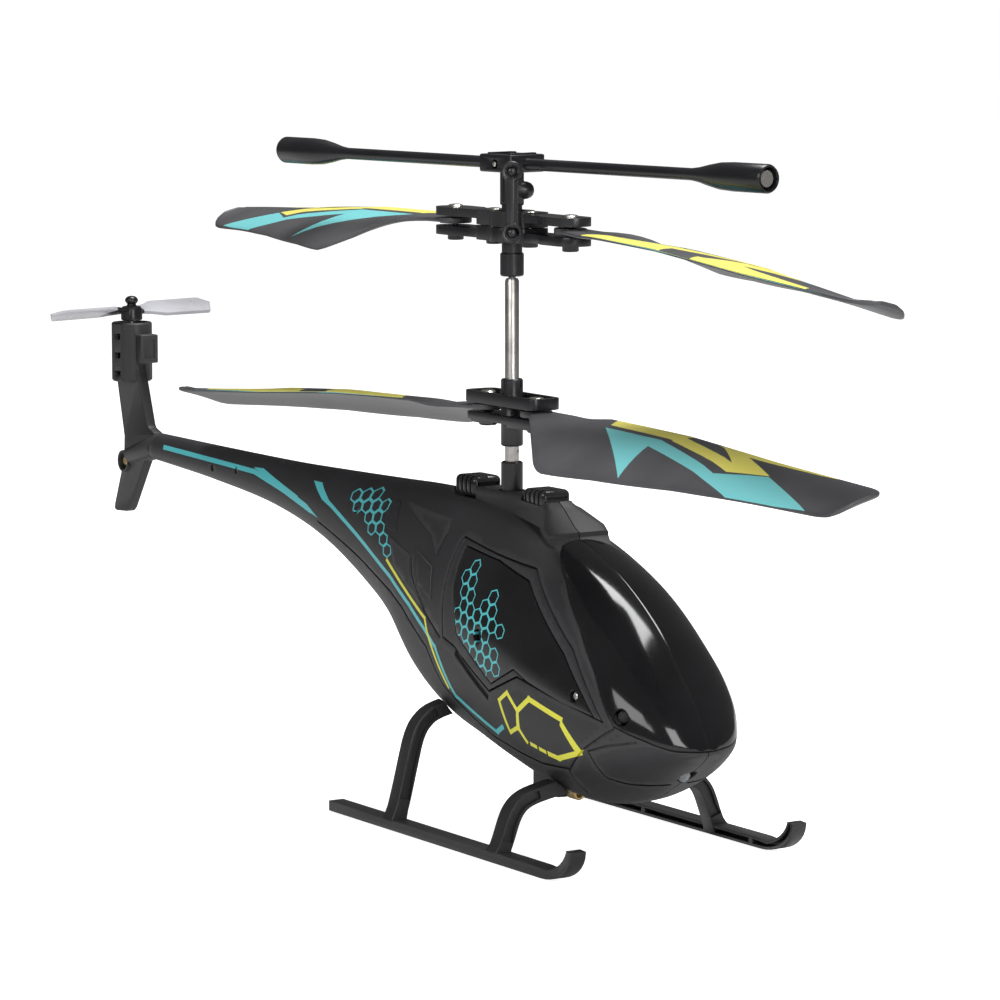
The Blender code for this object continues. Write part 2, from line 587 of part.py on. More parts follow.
def make_upper_hub():
    outward = Vector((math.cos(LINK_TURN), math.sin(LINK_TURN), 0))
    top = hub_half("hub_top", 80.65, 82.8, 81.3, 82.75)
    bottom = hub_half("hub_bottom", 78.6, 80.35, 78.7, 79.9)
    level = Vector((0, 0, LINK_BOTTOM))
    stud = join(rod("stud", 0.42, level + outward * 2.4, level + outward * LINK_REACH, 10),
                ball("stud_ball", 0.66, level + outward * LINK_REACH))
    join(bottom, stud)
    screws = (-UPPER_PIVOT, -INNER_SCREW_X, INNER_SCREW_X, UPPER_PIVOT)
    for x in screws:
        join(bottom, upright("boss", 1.1, 77.9, 79.2, x, segments=12))
        for half in (top, bottom):
            cut(half, upright("screw_hole", PIVOT_HOLE_R, 78.5, 90, x, segments=12))
        cut(top, upright("head_seat", SCREW_HEAD_R + GAP, 82.1, 90, x, segments=16))
    place(top, "matte_black", (0, 0, HUB_PIN_Z))
    place(bottom, "matte_black", (0, 0, HUB_PIN_Z))
    for number, x in enumerate(screws, 1):
        make_screw(f"hub_screw_{number}", x, 0, 82.4, 3.55)
    make_blade("upper_blade_front", UPPER_PIVOT, UPPER_BLADE_Z, 0, 1, 2.8, 2.3)
    make_blade("upper_blade_rear", UPPER_PIVOT, UPPER_BLADE_Z, 180, 1, 5.0, 0.5)


def make_head():
    head = turned("rotor_head", ((0, 83.4), (1.38, 83.4), (1.38, 77.2), (1.6, 77.0), (1.6, 73.8), (0, 73.8)))
    turn = FLYBAR_TURN
    join(head, box("post", (2.7, 2.2, 6.3), (0, 0, 86.45), turn))
    join(head, rod("knob_stem", 0.6, (0.3, 0.6, 85.3), (1.0, 1.8, 85.3), 10))
    join(head, rod("knob", 1.2, (0.9, 1.6, 85.3), (1.5, 2.75, 85.3), 12, 0.8))
    cut(head, upright("bore", INNER_R + 0.2, 70, 79.9, segments=12))
    along = Vector((math.cos(turn), math.sin(turn), 0))
    across = Vector((-along.y, along.x, 0))
    hub_axis = Vector((math.cos(LINK_TURN + math.pi / 2), math.sin(LINK_TURN + math.pi / 2), 0))
    pivot, hinge = Vector((0, 0, FLYBAR_Z)), Vector((0, 0, HUB_PIN_Z))
    cut(head, rod("flybar_pin_hole", 0.62, pivot - across * 5, pivot + across * 5, 10),
        rod("hub_pin_hole", 0.62, hinge - hub_axis * 5, hinge + hub_axis * 5, 10))
    place(head, "matte_black")
    place(rod("flybar_pin", 0.34, pivot - across * 3.2, pivot + across * 3.2, 10), "steel")
    place(rod("hub_pin", 0.34, hinge - hub_axis * 2.7, hinge + hub_axis * 2.7, 10), "steel")

    bar = box("flybar", (6.6, 6.0, 2.4), (0, 0, FLYBAR_Z + 0.1), turn, bevel=0.25)
    arm = ((0, FLYBAR_HALF), (1.85, FLYBAR_HALF), (1.87, 44.0), (1.75, 41.6), (1.0, 37.6), (0.8, 36.0),
           (0.8, 2.6), (0, 2.6))
    hole = ((0, FLYBAR_HALF + 1), (1.5, FLYBAR_HALF + 1), (1.5, 46.0), (0, 46.0))
    slug = ((0, FLYBAR_HALF - 0.4), (1.2, FLYBAR_HALF - 0.4), (1.2, 46.3), (0, 46.3))
    middle = Matrix.Translation(pivot) @ Matrix.Rotation(turn, 4, "Z")
    for name, side in (("flybar_slug_front", 1), ("flybar_slug_rear", -1)):
        lie = middle @ Matrix.Rotation(side * math.pi / 2, 4, "Y")
        join(bar, turned("arm", arm, lie, 16))
        cut(bar, turned("slug_hole", hole, lie, 16))
        place(turned(name, slug, lie, 16), "steel", pivot)
    outward = Vector((math.cos(LINK_TURN), math.sin(LINK_TURN), 0))
    level = Vector((0, 0, LINK_TOP))
    stud = join(rod("stud", 0.42, level + outward * 2.6, level + outward * LINK_REACH, 10),
                ball("stud_ball", 0.66, level + outward * LINK_REACH))
    join(bar, stud)
    cut(bar, box("post_slot", (4.0, 2.9, 8), (0, 0, FLYBAR_Z), turn),
        rod("pin_hole", 0.64, pivot - across * 5, pivot + across * 5, 10))
    place(bar, "matte_black", pivot)

    eyes = [outward * LINK_REACH + Vector((0, 0, z)) for z in (LINK_TOP, LINK_BOTTOM)]
    link = box("link_rod", (1.0, 1.7, LINK_TOP - LINK_BOTTOM - 1.8), (eyes[0] + eyes[1]) / 2, LINK_TURN)
    for eye in eyes:
        join(link, rod("eye", 1.4, eye - outward * 0.5, eye + outward * 0.5, 16))
    for eye in eyes:
        cut(link, rod("eye_hole", 0.98, eye - outward * 3, eye + outward * 3, 14))
    place(link, "matte_black", eyes[1])


make_fuselage()
make_vents()
make_skids()
make_tail()
make_drive()
make_electrics()
make_lower_rotor()
make_upper_hub()
make_head()
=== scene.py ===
"""A palm-sized coaxial toy helicopter: its finished surfaces, graphics and studio."""
import math

import bpy
from mathutils import Matrix, Vector


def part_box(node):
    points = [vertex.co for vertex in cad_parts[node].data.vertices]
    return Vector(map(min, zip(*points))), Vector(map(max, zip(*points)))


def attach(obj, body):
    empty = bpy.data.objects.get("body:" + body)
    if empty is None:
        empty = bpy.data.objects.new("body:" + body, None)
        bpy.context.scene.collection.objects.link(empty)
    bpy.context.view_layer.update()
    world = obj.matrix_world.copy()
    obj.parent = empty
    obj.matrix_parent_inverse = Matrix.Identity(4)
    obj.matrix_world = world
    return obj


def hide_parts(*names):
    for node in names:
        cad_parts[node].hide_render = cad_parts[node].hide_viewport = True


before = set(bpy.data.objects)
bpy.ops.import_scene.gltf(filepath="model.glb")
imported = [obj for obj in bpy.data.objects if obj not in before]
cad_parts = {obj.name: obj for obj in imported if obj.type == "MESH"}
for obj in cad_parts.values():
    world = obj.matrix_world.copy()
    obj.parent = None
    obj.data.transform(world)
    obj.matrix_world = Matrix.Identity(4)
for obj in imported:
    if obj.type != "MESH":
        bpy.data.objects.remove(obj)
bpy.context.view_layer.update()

# ---------------------------------------------------------------- camera, table and lamps
# A long lens ahead of the nose, to its right and a little above the lower rotor.
# The table is pale and so is the room; three soft lamps shape the dark plastic.
MM = 0.001
low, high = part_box("inner_shaft")
mast = Vector(((low[0] + high[0]) / 2, 0, 0))
VIEW_TURN = math.radians(57.22)
VIEW_RISE = math.radians(6.57)
VIEW_DISTANCE = 0.6033
view_way = Vector((math.sin(VIEW_TURN) * math.cos(VIEW_RISE), -math.cos(VIEW_TURN) * math.cos(VIEW_RISE),
                   math.sin(VIEW_RISE)))
lens = bpy.data.cameras.new("camera")
lens.sensor_width = 36.0
lens.lens = 161.2
lens.shift_x = -0.012
lens.shift_y = -0.0477
lens.clip_end = 50
camera = bpy.data.objects.new("camera", lens)
camera.location = mast + Vector((0, 0, 50 * MM)) + view_way * VIEW_DISTANCE
camera.rotation_euler = (-view_way).to_track_quat("-Z", "Y").to_euler()
bpy.context.scene.collection.objects.link(camera)
bpy.context.scene.camera = camera
bpy.context.scene.view_settings.view_transform = "Standard"


def lamp(name, place, target, size, power):
    """A rectangular soft lamp, its place and target in millimetres from the mast."""
    light = bpy.data.lights.new(name, "AREA")
    light.shape = "RECTANGLE"
    light.size, light.size_y = size[0] * MM, size[1] * MM
    light.energy = power
    stand = bpy.data.objects.new(name, light)
    stand.location = mast + Vector(place) * MM
    stand.rotation_euler = ((Vector(target) - Vector(place)) * MM).to_track_quat("-Z", "Y").to_euler()
    bpy.context.scene.collection.objects.link(stand)
    return stand


lamp("roof_lamp", (-60, 120, 640), (0, 0, 40), (420, 260), 4.2)
lamp("nose_lamp", (620, -120, 260), (10, 0, 40), (200, 420), 1.8)
lamp("side_lamp", (230, -620, 360), (0, 0, 40), (420, 240), 1.5)

world = bpy.data.worlds.new("room")
world.use_nodes = True
bpy.context.scene.world = world
room = world.node_tree
backdrop = room.nodes.new("ShaderNodeBackground")
backdrop.inputs["Color"].default_value = (1, 1, 1, 1)
seen = room.nodes.new("ShaderNodeLightPath")
choose = room.nodes.new("ShaderNodeMixShader")
room.nodes["Background"].inputs["Color"].default_value = (1, 1, 1, 1)
room.nodes["Background"].inputs["Strength"].default_value = 0.12
room.links.new(seen.outputs["Is Camera Ray"], choose.inputs[0])
room.links.new(room.nodes["Background"].outputs[0], choose.inputs[1])
room.links.new(backdrop.outputs[0], choose.inputs[2])
room.links.new(choose.outputs[0], room.nodes["World Output"].inputs["Surface"])

bpy.ops.object.select_all(action="DESELECT")
bpy.ops.mesh.primitive_circle_add(vertices=96, radius=12, fill_type="NGON", location=(0, 0, -0.0002))
table = bpy.context.object
table.name = "table"
table.data.transform(table.matrix_world)
table.matrix_world = Matrix()
table_finish = bpy.data.materials.new("table")
table_finish.use_nodes = True
table_nodes = table_finish.node_tree
table_shader = table_nodes.nodes["Principled BSDF"]
table_shader.inputs["Base Color"].default_value = (0.8, 0.8, 0.8, 1)
table_shader.inputs["Roughness"].default_value = 0.9
table_shader.inputs["Emission Color"].default_value = (1, 1, 1, 1)
seen = table_nodes.nodes.new("ShaderNodeLightPath")
lift = table_nodes.nodes.new("ShaderNodeMath")
lift.operation = "MULTIPLY"
lift.inputs[1].default_value = 0.92
table_nodes.links.new(seen.outputs["Is Camera Ray"], lift.inputs[0])
table_nodes.links.new(lift.outputs[0], table_shader.inputs["Emission Strength"])
table.data.materials.append(table_finish)


# ---------------------------------------------------------------- fuselage halves
# Two moulded halves of matte black plastic meet on the middle plane, with the printed
# stripes, honeycomb and hexagons on their sides; the canopy and windows fit into them.
class Tone:
    """One socket of a finish; sums, products and limits of tones add their Math nodes."""

    def __init__(self, finish, socket):
        self.finish, self.socket = finish, socket

    def math(self, operation, *others):
        return self.finish.node("Math", {"operation": operation}, dict(enumerate((self, *others))))

    def __add__(self, other):
        return self.math("ADD", other)

    def __sub__(self, other):
        return self.math("SUBTRACT", other)

    def __rsub__(self, other):
        return self.finish.node("Math", {"operation": "SUBTRACT"}, {0: other, 1: self})

    def __mul__(self, other):
        return self.math("MULTIPLY", other)

    def __truediv__(self, other):
        return self.math("DIVIDE", other)

    __radd__ = __add__
    __rmul__ = __mul__

    def over(self, limit):
        return self.math("GREATER_THAN", limit)

    def least(self, other):
        return self.math("MINIMUM", other)

    def most(self, other):
        return self.math("MAXIMUM", other)

    def size(self):
        return self.math("ABSOLUTE")

    def rise(self, start, end):
        """0 before start, 1 after end, smooth between them."""
        return self.finish.node("MapRange", {"interpolation_type": "SMOOTHSTEP"}, {0: self, 1: start, 2: end})


class Finish:
    """A procedural material: nodes come from node(), and its places are millimetres from the mast."""

    def __init__(self, name, roughness=0.5, metallic=0.0):
        self.material = bpy.data.materials.new(name)
        self.material.use_nodes = True
        self.tree = self.material.node_tree
        self.shader = self.tree.nodes["Principled BSDF"]
        self.shader.inputs["Roughness"].default_value = roughness
        self.shader.inputs["Metallic"].default_value = metallic
        objects = self.node("TexCoord", output=3)
        moved = self.node("VectorMath", {"operation": "SUBTRACT"}, {0: objects, 1: mast})
        self.place = self.node("VectorMath", {"operation": "SCALE"}, {0: moved, 3: 1 / MM})
        self.x, self.y, self.z = (self.node("SeparateXYZ", None, {0: self.place}, n) for n in range(3))

    def node(self, kind, settings=None, sockets=None, output=0):
        made = self.tree.nodes.new("ShaderNode" + kind)
        for name, setting in (settings or {}).items():
            setattr(made, name, setting)
        for name, value in (sockets or {}).items():
            if isinstance(value, Tone):
                self.tree.links.new(value.socket, made.inputs[name])
            else:
                made.inputs[name].default_value = value
        return Tone(self, made.outputs[output])

    def feed(self, name, value):
        """Set or link one socket of the shader."""
        if isinstance(value, Tone):
            self.tree.links.new(value.socket, self.shader.inputs[name])
        else:
            self.shader.inputs[name].default_value = value

    def mix(self, share, first, second):
        """From the first colour to the second."""
        return self.node("Mix", {"data_type": "RGBA"}, {0: share, 6: first, 7: second}, 2)

    def specks(self, grain, detail=2.0, stretch=(1, 1, 1)):
        """Noise from 0 to 1 whose features are about grain millimetres wide."""
        spread = self.node("VectorMath", {"operation": "MULTIPLY"}, {0: self.place, 1: stretch})
        return self.node("TexNoise", None, {"Vector": spread, "Scale": 1 / grain, "Detail": detail})

    def raised(self, height, depth):
        """Bump of a given depth in millimetres under the shader's Normal."""
        bump = self.node("Bump", None, {"Strength": 1.0, "Distance": depth * MM, "Height": height})
        self.feed("Normal", bump)


def outline_depth(finish, plan, corners):
    """How far inside a convex outline a point of the plan lies, in mm; less than 0 is outside."""
    area = sum(a[0] * b[1] - b[0] * a[1] for a, b in zip(corners, corners[1:] + corners[:1]))
    side = math.copysign(1, area)
    depth = None
    for (ax, az), (bx, bz) in zip(corners, corners[1:] + corners[:1]):
        reach = side / math.hypot(bx - ax, bz - az)
        nx, nz = (az - bz) * reach, (bx - ax) * reach
        line = (nx, nz, -nx * ax - nz * az)
        edge = finish.node("VectorMath", {"operation": "DOT_PRODUCT"}, {0: plan, 1: line}, 1)
        depth = edge if depth is None else depth.least(edge)
    return depth


def stroke(start, end, width):
    """The four corners of a straight painted line."""
    start, end = Vector(start), Vector(end)
    along = (end - start).normalized() * width / 2
    across = Vector((-along.y, along.x))
    return [tuple(p) for p in (start - along + across, end + along + across, end + along - across,
                               start - along - across)]


def strokes(line, width):
    return [stroke(a, b, width) for a, b in zip(line, line[1:])]


def printed(finish, plan, outlines):
    """1 inside any of the convex outlines, 0 elsewhere."""
    depth = None
    for corners in outlines:
        inside = outline_depth(finish, plan, corners)
        depth = inside if depth is None else depth.most(inside)
    return depth.over(0)


def honeycomb(finish, x, z, pitch, turn, line, outlines):
    """A net of hexagonal cells, shown only for the cells whose middles lie in the outlines."""
    c, s = math.cos(turn) / pitch, math.sin(turn) / pitch
    flat = finish.node("CombineXYZ", None, {0: x * c + z * s + 50, 1: z * c - x * s + 50})
    step = (1, math.sqrt(3), 1)
    half = (0.5, math.sqrt(3) / 2, 0)
    cells = []
    for offset in ((0, 0, 0), half):
        moved = finish.node("VectorMath", {"operation": "ADD"}, {0: flat, 1: offset})
        folded = finish.node("VectorMath", {"operation": "MODULO"}, {0: moved, 1: step})
        centred = finish.node("VectorMath", {"operation": "SUBTRACT"}, {0: folded, 1: half})
        cells.append((centred, finish.node("VectorMath", {"operation": "LENGTH"}, {0: centred}, 1)))
    nearer = (cells[0][1] - cells[1][1]).over(0)
    offset = finish.node("Mix", {"data_type": "VECTOR"}, {0: nearer, 4: cells[0][0], 5: cells[1][0]}, 1)
    folded = finish.node("VectorMath", {"operation": "ABSOLUTE"}, {0: offset})
    slant = finish.node("VectorMath", {"operation": "DOT_PRODUCT"}, {0: folded, 1: half}, 1)
    upright = finish.node("SeparateXYZ", None, {0: folded})
    edge = 0.5 - slant.most(upright)
    dx, dz = (finish.node("SeparateXYZ", None, {0: offset}, n) for n in (0, 1))
    middle_x = x - (dx * math.cos(turn) - dz * math.sin(turn)) * pitch
    middle_z = z - (dx * math.sin(turn) + dz * math.cos(turn)) * pitch
    plan = finish.node("CombineXYZ", None, {0: middle_x, 1: middle_z, 2: 1.0})
    return printed(finish, plan, outlines) * (line / pitch - edge).over(0)


def moulded(name, colour, roughness, grain=0.25, depth=0.004, wear=0.03):
    """Moulded plastic: a fine grain, a slow drift of gloss, and edges rubbed a little lighter."""
    finish = Finish(name, roughness)
    cloud = finish.specks(9.0, 3.0)
    fine = finish.specks(grain, 3.0)
    rubbed = finish.node("NewGeometry", output=7).rise(0.53, 0.62)
    tint = finish.mix(cloud.rise(0.3, 0.7), (*colour, 1), (*[c * 1.25 + 0.002 for c in colour], 1))
    finish.colour = finish.mix(rubbed * 0.5, tint, (*[c + wear for c in colour], 1))
    finish.gloss = roughness - 0.06 + cloud * 0.08 + fine * 0.05
    finish.feed("Base Color", finish.colour)
    finish.feed("Roughness", finish.gloss)
    finish.raised(fine, depth)
    return finish


# Body stations: x, underside z, top z, half width, in millimetres from the mast.
STATIONS = (
    (-100, 39.2, 43.3, 1.9), (-80, 38.0, 43.1, 2.5), (-60, 36.0, 43.0, 3.4), (-45, 32.8, 43.2, 4.7),
    (-30, 27.4, 43.5, 6.8), (-20, 22.8, 43.7, 8.8), (-12, 16.5, 43.6, 10.4), (-4, 12.8, 43.2, 11.6),
    (4, 10.8, 42.6, 12.3), (12, 8.9, 41.5, 12.7), (20, 7.3, 38.9, 12.6), (27, 6.7, 35.7, 11.9),
    (33, 7.7, 31.7, 10.8), (38, 10.0, 27.4, 9.6), (42, 12.6, 23.2, 7.4), (45, 14.6, 19.0, 4.2),
    (46.1, 15.6, 16.6, 1.2),
)
WAIST = 0.45
BOXINESS = 2.3
CANOPY = (
    (15.8, 46), (16.4, 40.3), (17.2, 39.4), (23.5, 35.3), (29, 30.6), (33.8, 25.4), (38.3, 19.1),
    (42.3, 17.5), (44.9, 16.3), (49, 15.5), (49, 46),
)
DOOR = (
    (1.6, 26.0), (0.9, 32.0), (0.9, 39.4), (18.0, 37.0), (29.8, 28.0), (37.0, 19.4), (20.6, 23.2),
    (14.0, 20.4), (4.8, 25.2),
)
GAP = 0.3
CYAN = (0.10, 0.56, 0.60, 1)
YELLOW = (0.83, 0.80, 0.06, 1)


def eased(x, column):
    """A station value at x, on a smooth curve through the stations that never overshoots."""
    for k, (a, b) in enumerate(zip(STATIONS, STATIONS[1:])):
        if x <= b[0]:
            break
    slopes = []
    for n in (k, k + 1):
        sides = []
        for p, q in ((n - 1, n), (n, n + 1)):
            if p >= 0 and q < len(STATIONS):
                rise = STATIONS[q][column] - STATIONS[p][column]
                sides.append(rise / (STATIONS[q][0] - STATIONS[p][0]))
        flat = len(sides) == 2 and sides[0] * sides[1] <= 0
        slopes.append(0 if flat else sum(sides) / len(sides))
    run = b[0] - a[0]
    t = (x - a[0]) / run
    return ((2 * t**3 - 3 * t**2 + 1) * a[column] + (t**3 - 2 * t**2 + t) * run * slopes[0]
            + (3 * t**2 - 2 * t**3) * b[column] + (t**3 - t**2) * run * slopes[1])


def loft(name, rings):
    """A skin over closed rings of points, with both ends closed."""
    verts = [p for ring in rings for p in ring]
    count = len(rings[0])
    faces = []
    for r in range(len(rings) - 1):
        for k in range(count):
            a, b = r * count + k, r * count + (k + 1) % count
            faces.append((a, b, b + count, a + count))
    faces.append(tuple(range(count))[::-1])
    faces.append(tuple(range(len(verts) - count, len(verts))))
    mesh = bpy.data.meshes.new(name)
    mesh.from_pydata(verts, [], faces)
    obj = bpy.data.objects.new(name, mesh)
    bpy.context.scene.collection.objects.link(obj)
    use(obj)
    bpy.ops.object.mode_set(mode="EDIT")
    bpy.ops.mesh.select_all(action="SELECT")
    bpy.ops.mesh.normals_make_consistent(inside=False)
    bpy.ops.object.mode_set(mode="OBJECT")
    return obj


def use(obj):
    """Make obj the only selected object."""
    bpy.ops.object.select_all(action="DESELECT")
    obj.select_set(True)
    bpy.context.view_layer.objects.active = obj
    return obj


def hull(name, grow=0.0, back=0.0, start=-100.0, end=46.1, step=0.8, around=112):
    """The body's outer form between two stations, grown or shrunk by a distance."""
    rings = []
    count = round((end - start) / step)
    for n in range(count + 1):
        x = start + (end - start) * n / count
        bottom, top, width = (eased(x, column) for column in (1, 2, 3))
        bottom, top, width = bottom - grow, top + grow, max(width + grow, 0.3)
        if top - bottom < 0.5:
            bottom, top = (bottom + top) / 2 - 0.25, (bottom + top) / 2 + 0.25
        middle = bottom + WAIST * (top - bottom)
        ring = []
        for k in range(around):
            angle = 2 * math.pi * (k + 0.5) / around
            c, s = math.cos(angle), math.sin(angle)
            reach = top - middle if s > 0 else middle - bottom
            ring.append((x - back * min(max((x + 10) / 50, 0), 1),
                         width * math.copysign(abs(c) ** (2 / BOXINESS), c),
                         middle + reach * math.copysign(abs(s) ** (2 / BOXINESS), s)))
        rings.append(ring)
    return loft(name, rings)


def slab(name, outline, near, far):
    """A side-view outline extruded across the body from y = near to y = far."""
    rings = [[(x, y, z) for x, z in outline] for y in (near, far)]
    return loft(name, rings)


def boolean(obj, operation, *others):
    """Cut, join or intersect obj with each other solid, which is used up."""
    for other in others:
        use(obj)
        modifier = obj.modifiers.new("combine", "BOOLEAN")
        modifier.operation = operation
        modifier.solver = "EXACT"
        modifier.object = other
        bpy.ops.object.modifier_apply(modifier=modifier.name)
        bpy.data.objects.remove(other, do_unlink=True)
    return obj


def cut(obj, *others):
    return boolean(obj, "DIFFERENCE", *others)


def join(obj, *others):
    return boolean(obj, "UNION", *others)


def keep(obj, *others):
    return boolean(obj, "INTERSECT", *others)


def moved(outline, distance):
    """An outline moved inwards all round by a distance, or outwards if it is negative."""
    outline = list(outline)
    area = sum(a[0] * b[1] - b[0] * a[1] for a, b in zip(outline, outline[1:] + outline[:1]))
    side = math.copysign(1, area)
    result = []
    for before, here, after in zip(outline[-1:] + outline[:-1], outline, outline[1:] + outline[:1]):
        here = Vector(here)
        first, second = (here - Vector(before)).normalized(), (Vector(after) - here).normalized()
        normals = [Vector((-d.y, d.x)) * side for d in (first, second)]
        middle = (normals[0] + normals[1]).normalized()
        result.append(tuple(here + middle * distance / max(middle.dot(normals[0]), 0.5)))
    return result


def rounded(obj, width, angle=40, segments=2):
    """Bevel the edges sharper than an angle, in degrees."""
    use(obj)
    bevel = obj.modifiers.new("edges", "BEVEL")
    bevel.width = width
    bevel.segments = segments
    bevel.limit_method = "ANGLE"
    bevel.angle_limit = math.radians(angle)
    bevel.use_clamp_overlap = True
    bevel.loop_slide = True
    bpy.ops.object.modifier_apply(modifier=bevel.name)
    return obj


def finished(obj, finish, body, *nodes, smooth=32):
    """Put a piece drawn in millimetres in its place, paint it and fix it to its body."""
    obj.data.transform(Matrix.Translation(mast) @ Matrix.Scale(MM, 4) @ obj.matrix_world)
    obj.matrix_world = Matrix()
    use(obj)
    bpy.ops.object.shade_smooth_by_angle(angle=math.radians(smooth))
    obj.data.materials.clear()
    obj.data.materials.append(finish.material)
    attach(obj, body)
    if nodes:
        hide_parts(*nodes)
    return obj


def twin(obj, name):
    """A copy of a piece, with its own mesh, on the other side of the middle plane."""
    use(obj)
    bpy.ops.object.duplicate()
    other = bpy.context.object
    other.name = other.data.name = name
    bpy.ops.object.mode_set(mode="EDIT")
    bpy.ops.mesh.select_all(action="SELECT")
    bpy.ops.transform.resize(value=(1, -1, 1), center_override=(0, 0, 0))
    bpy.ops.mesh.normals_make_consistent(inside=False)
    bpy.ops.object.mode_set(mode="OBJECT")
    return other


def upright(name, radius, z0, z1, x=0.0, y=0.0, vertices=48):
    """A cylinder standing on z0."""
    bpy.ops.object.select_all(action="DESELECT")
    bpy.ops.mesh.primitive_cylinder_add(vertices=vertices, radius=radius, depth=z1 - z0,
                                        location=(x, y, (z0 + z1) / 2))
    bpy.context.object.name = name
    return settled(bpy.context.object)


def facing(way):
    """The turn that points a piece's z axis along a direction."""
    return Vector(way).to_track_quat("Z", "Y").to_matrix().to_4x4()


def rod(name, radius, start, end, vertices=32, end_radius=None):
    """A cylinder or cone from one point to another."""
    start, end = Vector(start), Vector(end)
    bpy.ops.object.select_all(action="DESELECT")
    bpy.ops.mesh.primitive_cone_add(vertices=vertices, radius1=radius, depth=(end - start).length,
                                    radius2=radius if end_radius is None else end_radius)
    obj = bpy.context.object
    obj.name = name
    obj.data.transform(Matrix.Translation((start + end) / 2) @ facing(end - start))
    return obj


def settled(obj):
    """Move an object's place, turn and size into its mesh."""
    obj.data.transform(obj.matrix_basis)
    obj.matrix_basis = Matrix()
    return obj


def block(name, size, middle, turn=0.0, bevel=0.0, segments=3):
    """A box with bevelled edges, turned about the vertical."""
    bpy.ops.object.select_all(action="DESELECT")
    bpy.ops.mesh.primitive_cube_add(size=1)
    obj = bpy.context.object
    obj.name = name
    obj.data.transform(Matrix.Diagonal((*size, 1)))
    if bevel:
        bpy.ops.object.mode_set(mode="EDIT")
        bpy.ops.mesh.select_all(action="SELECT")
        bpy.ops.mesh.bevel(offset=bevel, segments=segments, affect="EDGES")
        bpy.ops.object.mode_set(mode="OBJECT")
    obj.data.transform(Matrix.Translation(middle) @ Matrix.Rotation(turn, 4, "Z"))
    return obj


def band(line, width):
    """The outline of a line of a given width in the side view."""
    points = [Vector(p) for p in line]
    left, right = [], []
    for k, here in enumerate(points):
        ahead = (points[min(k + 1, len(points) - 1)] - here).normalized()
        behind = (here - points[max(k - 1, 0)]).normalized()
        way = (ahead + behind).normalized()
        across = Vector((-way.y, way.x)) * width / 2
        left.append(tuple(here + across))
        right.append(tuple(here - across))
    return left + right[::-1]


def groove(piece, line, width=0.32, depth=0.35, side=-1):
    """Cut a groove that follows the body's surface along a side-view line."""
    cutter = slab("groove", band(line, width), side * 1.2, side * 30)
    return cut(piece, cut(cutter, hull("floor", -depth)))


def relief(name, outline, rise, sink=0.5):
    """A raised patch of the body's surface inside a side-view outline, on the right side."""
    patch = keep(slab(name, outline, -1.2, -30), hull("rise", rise))
    return rounded(cut(patch, hull("sink", -sink, sink)), 0.12)


PYLON = (
    (-16.5, 42.0), (-12.6, 43.4), (-11.2, 44.6), (-5, 44.9), (5, 44.9), (11.4, 44.6), (12.8, 43.6),
    (15.2, 41.6), (19.6, 39.0), (12, 36), (-12, 38),
)
WINDOW = (
    (3.2, 33.0), (2.7, 38.4), (11.2, 37.4), (18.2, 35.5), (28.7, 27.3), (35.4, 19.9), (29.8, 20.9),
    (22.6, 22.9), (19.8, 24.1), (14.6, 21.5), (5.4, 27.0),
)
SEAMS = (
    ((-44, 36.2), (-30, 33.2), (-15.8, 29.9), (-11.3, 28.3), (-9.2, 27.1), (-3.3, 24.0), (0.2, 19.3),
     (3.7, 17.3), (11.6, 14.0), (18.5, 12.9), (23.6, 12.2), (29.6, 12.4)),
    ((-10.0, 35.3), (-8.9, 33.2), (-7.1, 31.2), (-3.5, 28.6), (1.0, 25.9)),
    ((38.6, 18.9), (33.0, 15.4), (29.1, 12.0), (29.5, 9.0)),
    ((41.4, 17.4), (37.6, 16.6), (34.0, 15.4), (35.5, 12.0), (37.5, 11.3), (40.4, 10.9)),
)

WALL = 1.0
RIDGE_WIDTH, RIDGE_FOOT, RIDGE_FLARE = 4.6, 42.4, 1.9
MAST_HOLE = 1.78
VENT_X = 8.5
WELLS = ((-78.8, 2.5, 40.2), (-71.1, 2.8, 40.6), (-31.0, 5.9, 39.2))

shell = hull("right_half")
ridge = slab("ridge", PYLON, -RIDGE_WIDTH / 2, RIDGE_WIDTH / 2)
for vertex in ridge.data.vertices:
    if vertex.co.z < RIDGE_FOOT:
        vertex.co.y *= RIDGE_FLARE
join(shell, rounded(ridge, 0.5, 20, 3))
cut(shell, block("other_half", (200, 40, 80), (-20, 20 - GAP / 4, 30)))
cut(shell, hull("hollow", -WALL, WALL))
cut(shell, slab("canopy_opening", CANOPY, -30, 30))
cut(shell, slab("door_opening", DOOR, -30, -3))
cut(shell, upright("mast_hole", MAST_HOLE, 30, 50))
for x in (-VENT_X, VENT_X):
    cut(shell, block("vent_seat", (5.6, 5.0, 3.6), (x, 0, 44.9), 0, 0.5))
for x, y, z in WELLS:
    cut(shell, rod("screw_well", 0.55, (x, -y - 2, z), (x, 0.8 - y, z), 24))
cut(shell, block("boom_slit", (1.6, 1.2, 0.5), (-58.9, -1.6, 43.0)))
cut(shell, rod("lamp_hole", 1.25, (38.5, 0, 13.1), (43.5, 0, 11.6)))
for line in SEAMS:
    groove(shell, line)
groove(shell, [(5.2, 24.6), (13.6, 19.6)], 0.9, 0.45)
rounded(shell, 0.09, 38)


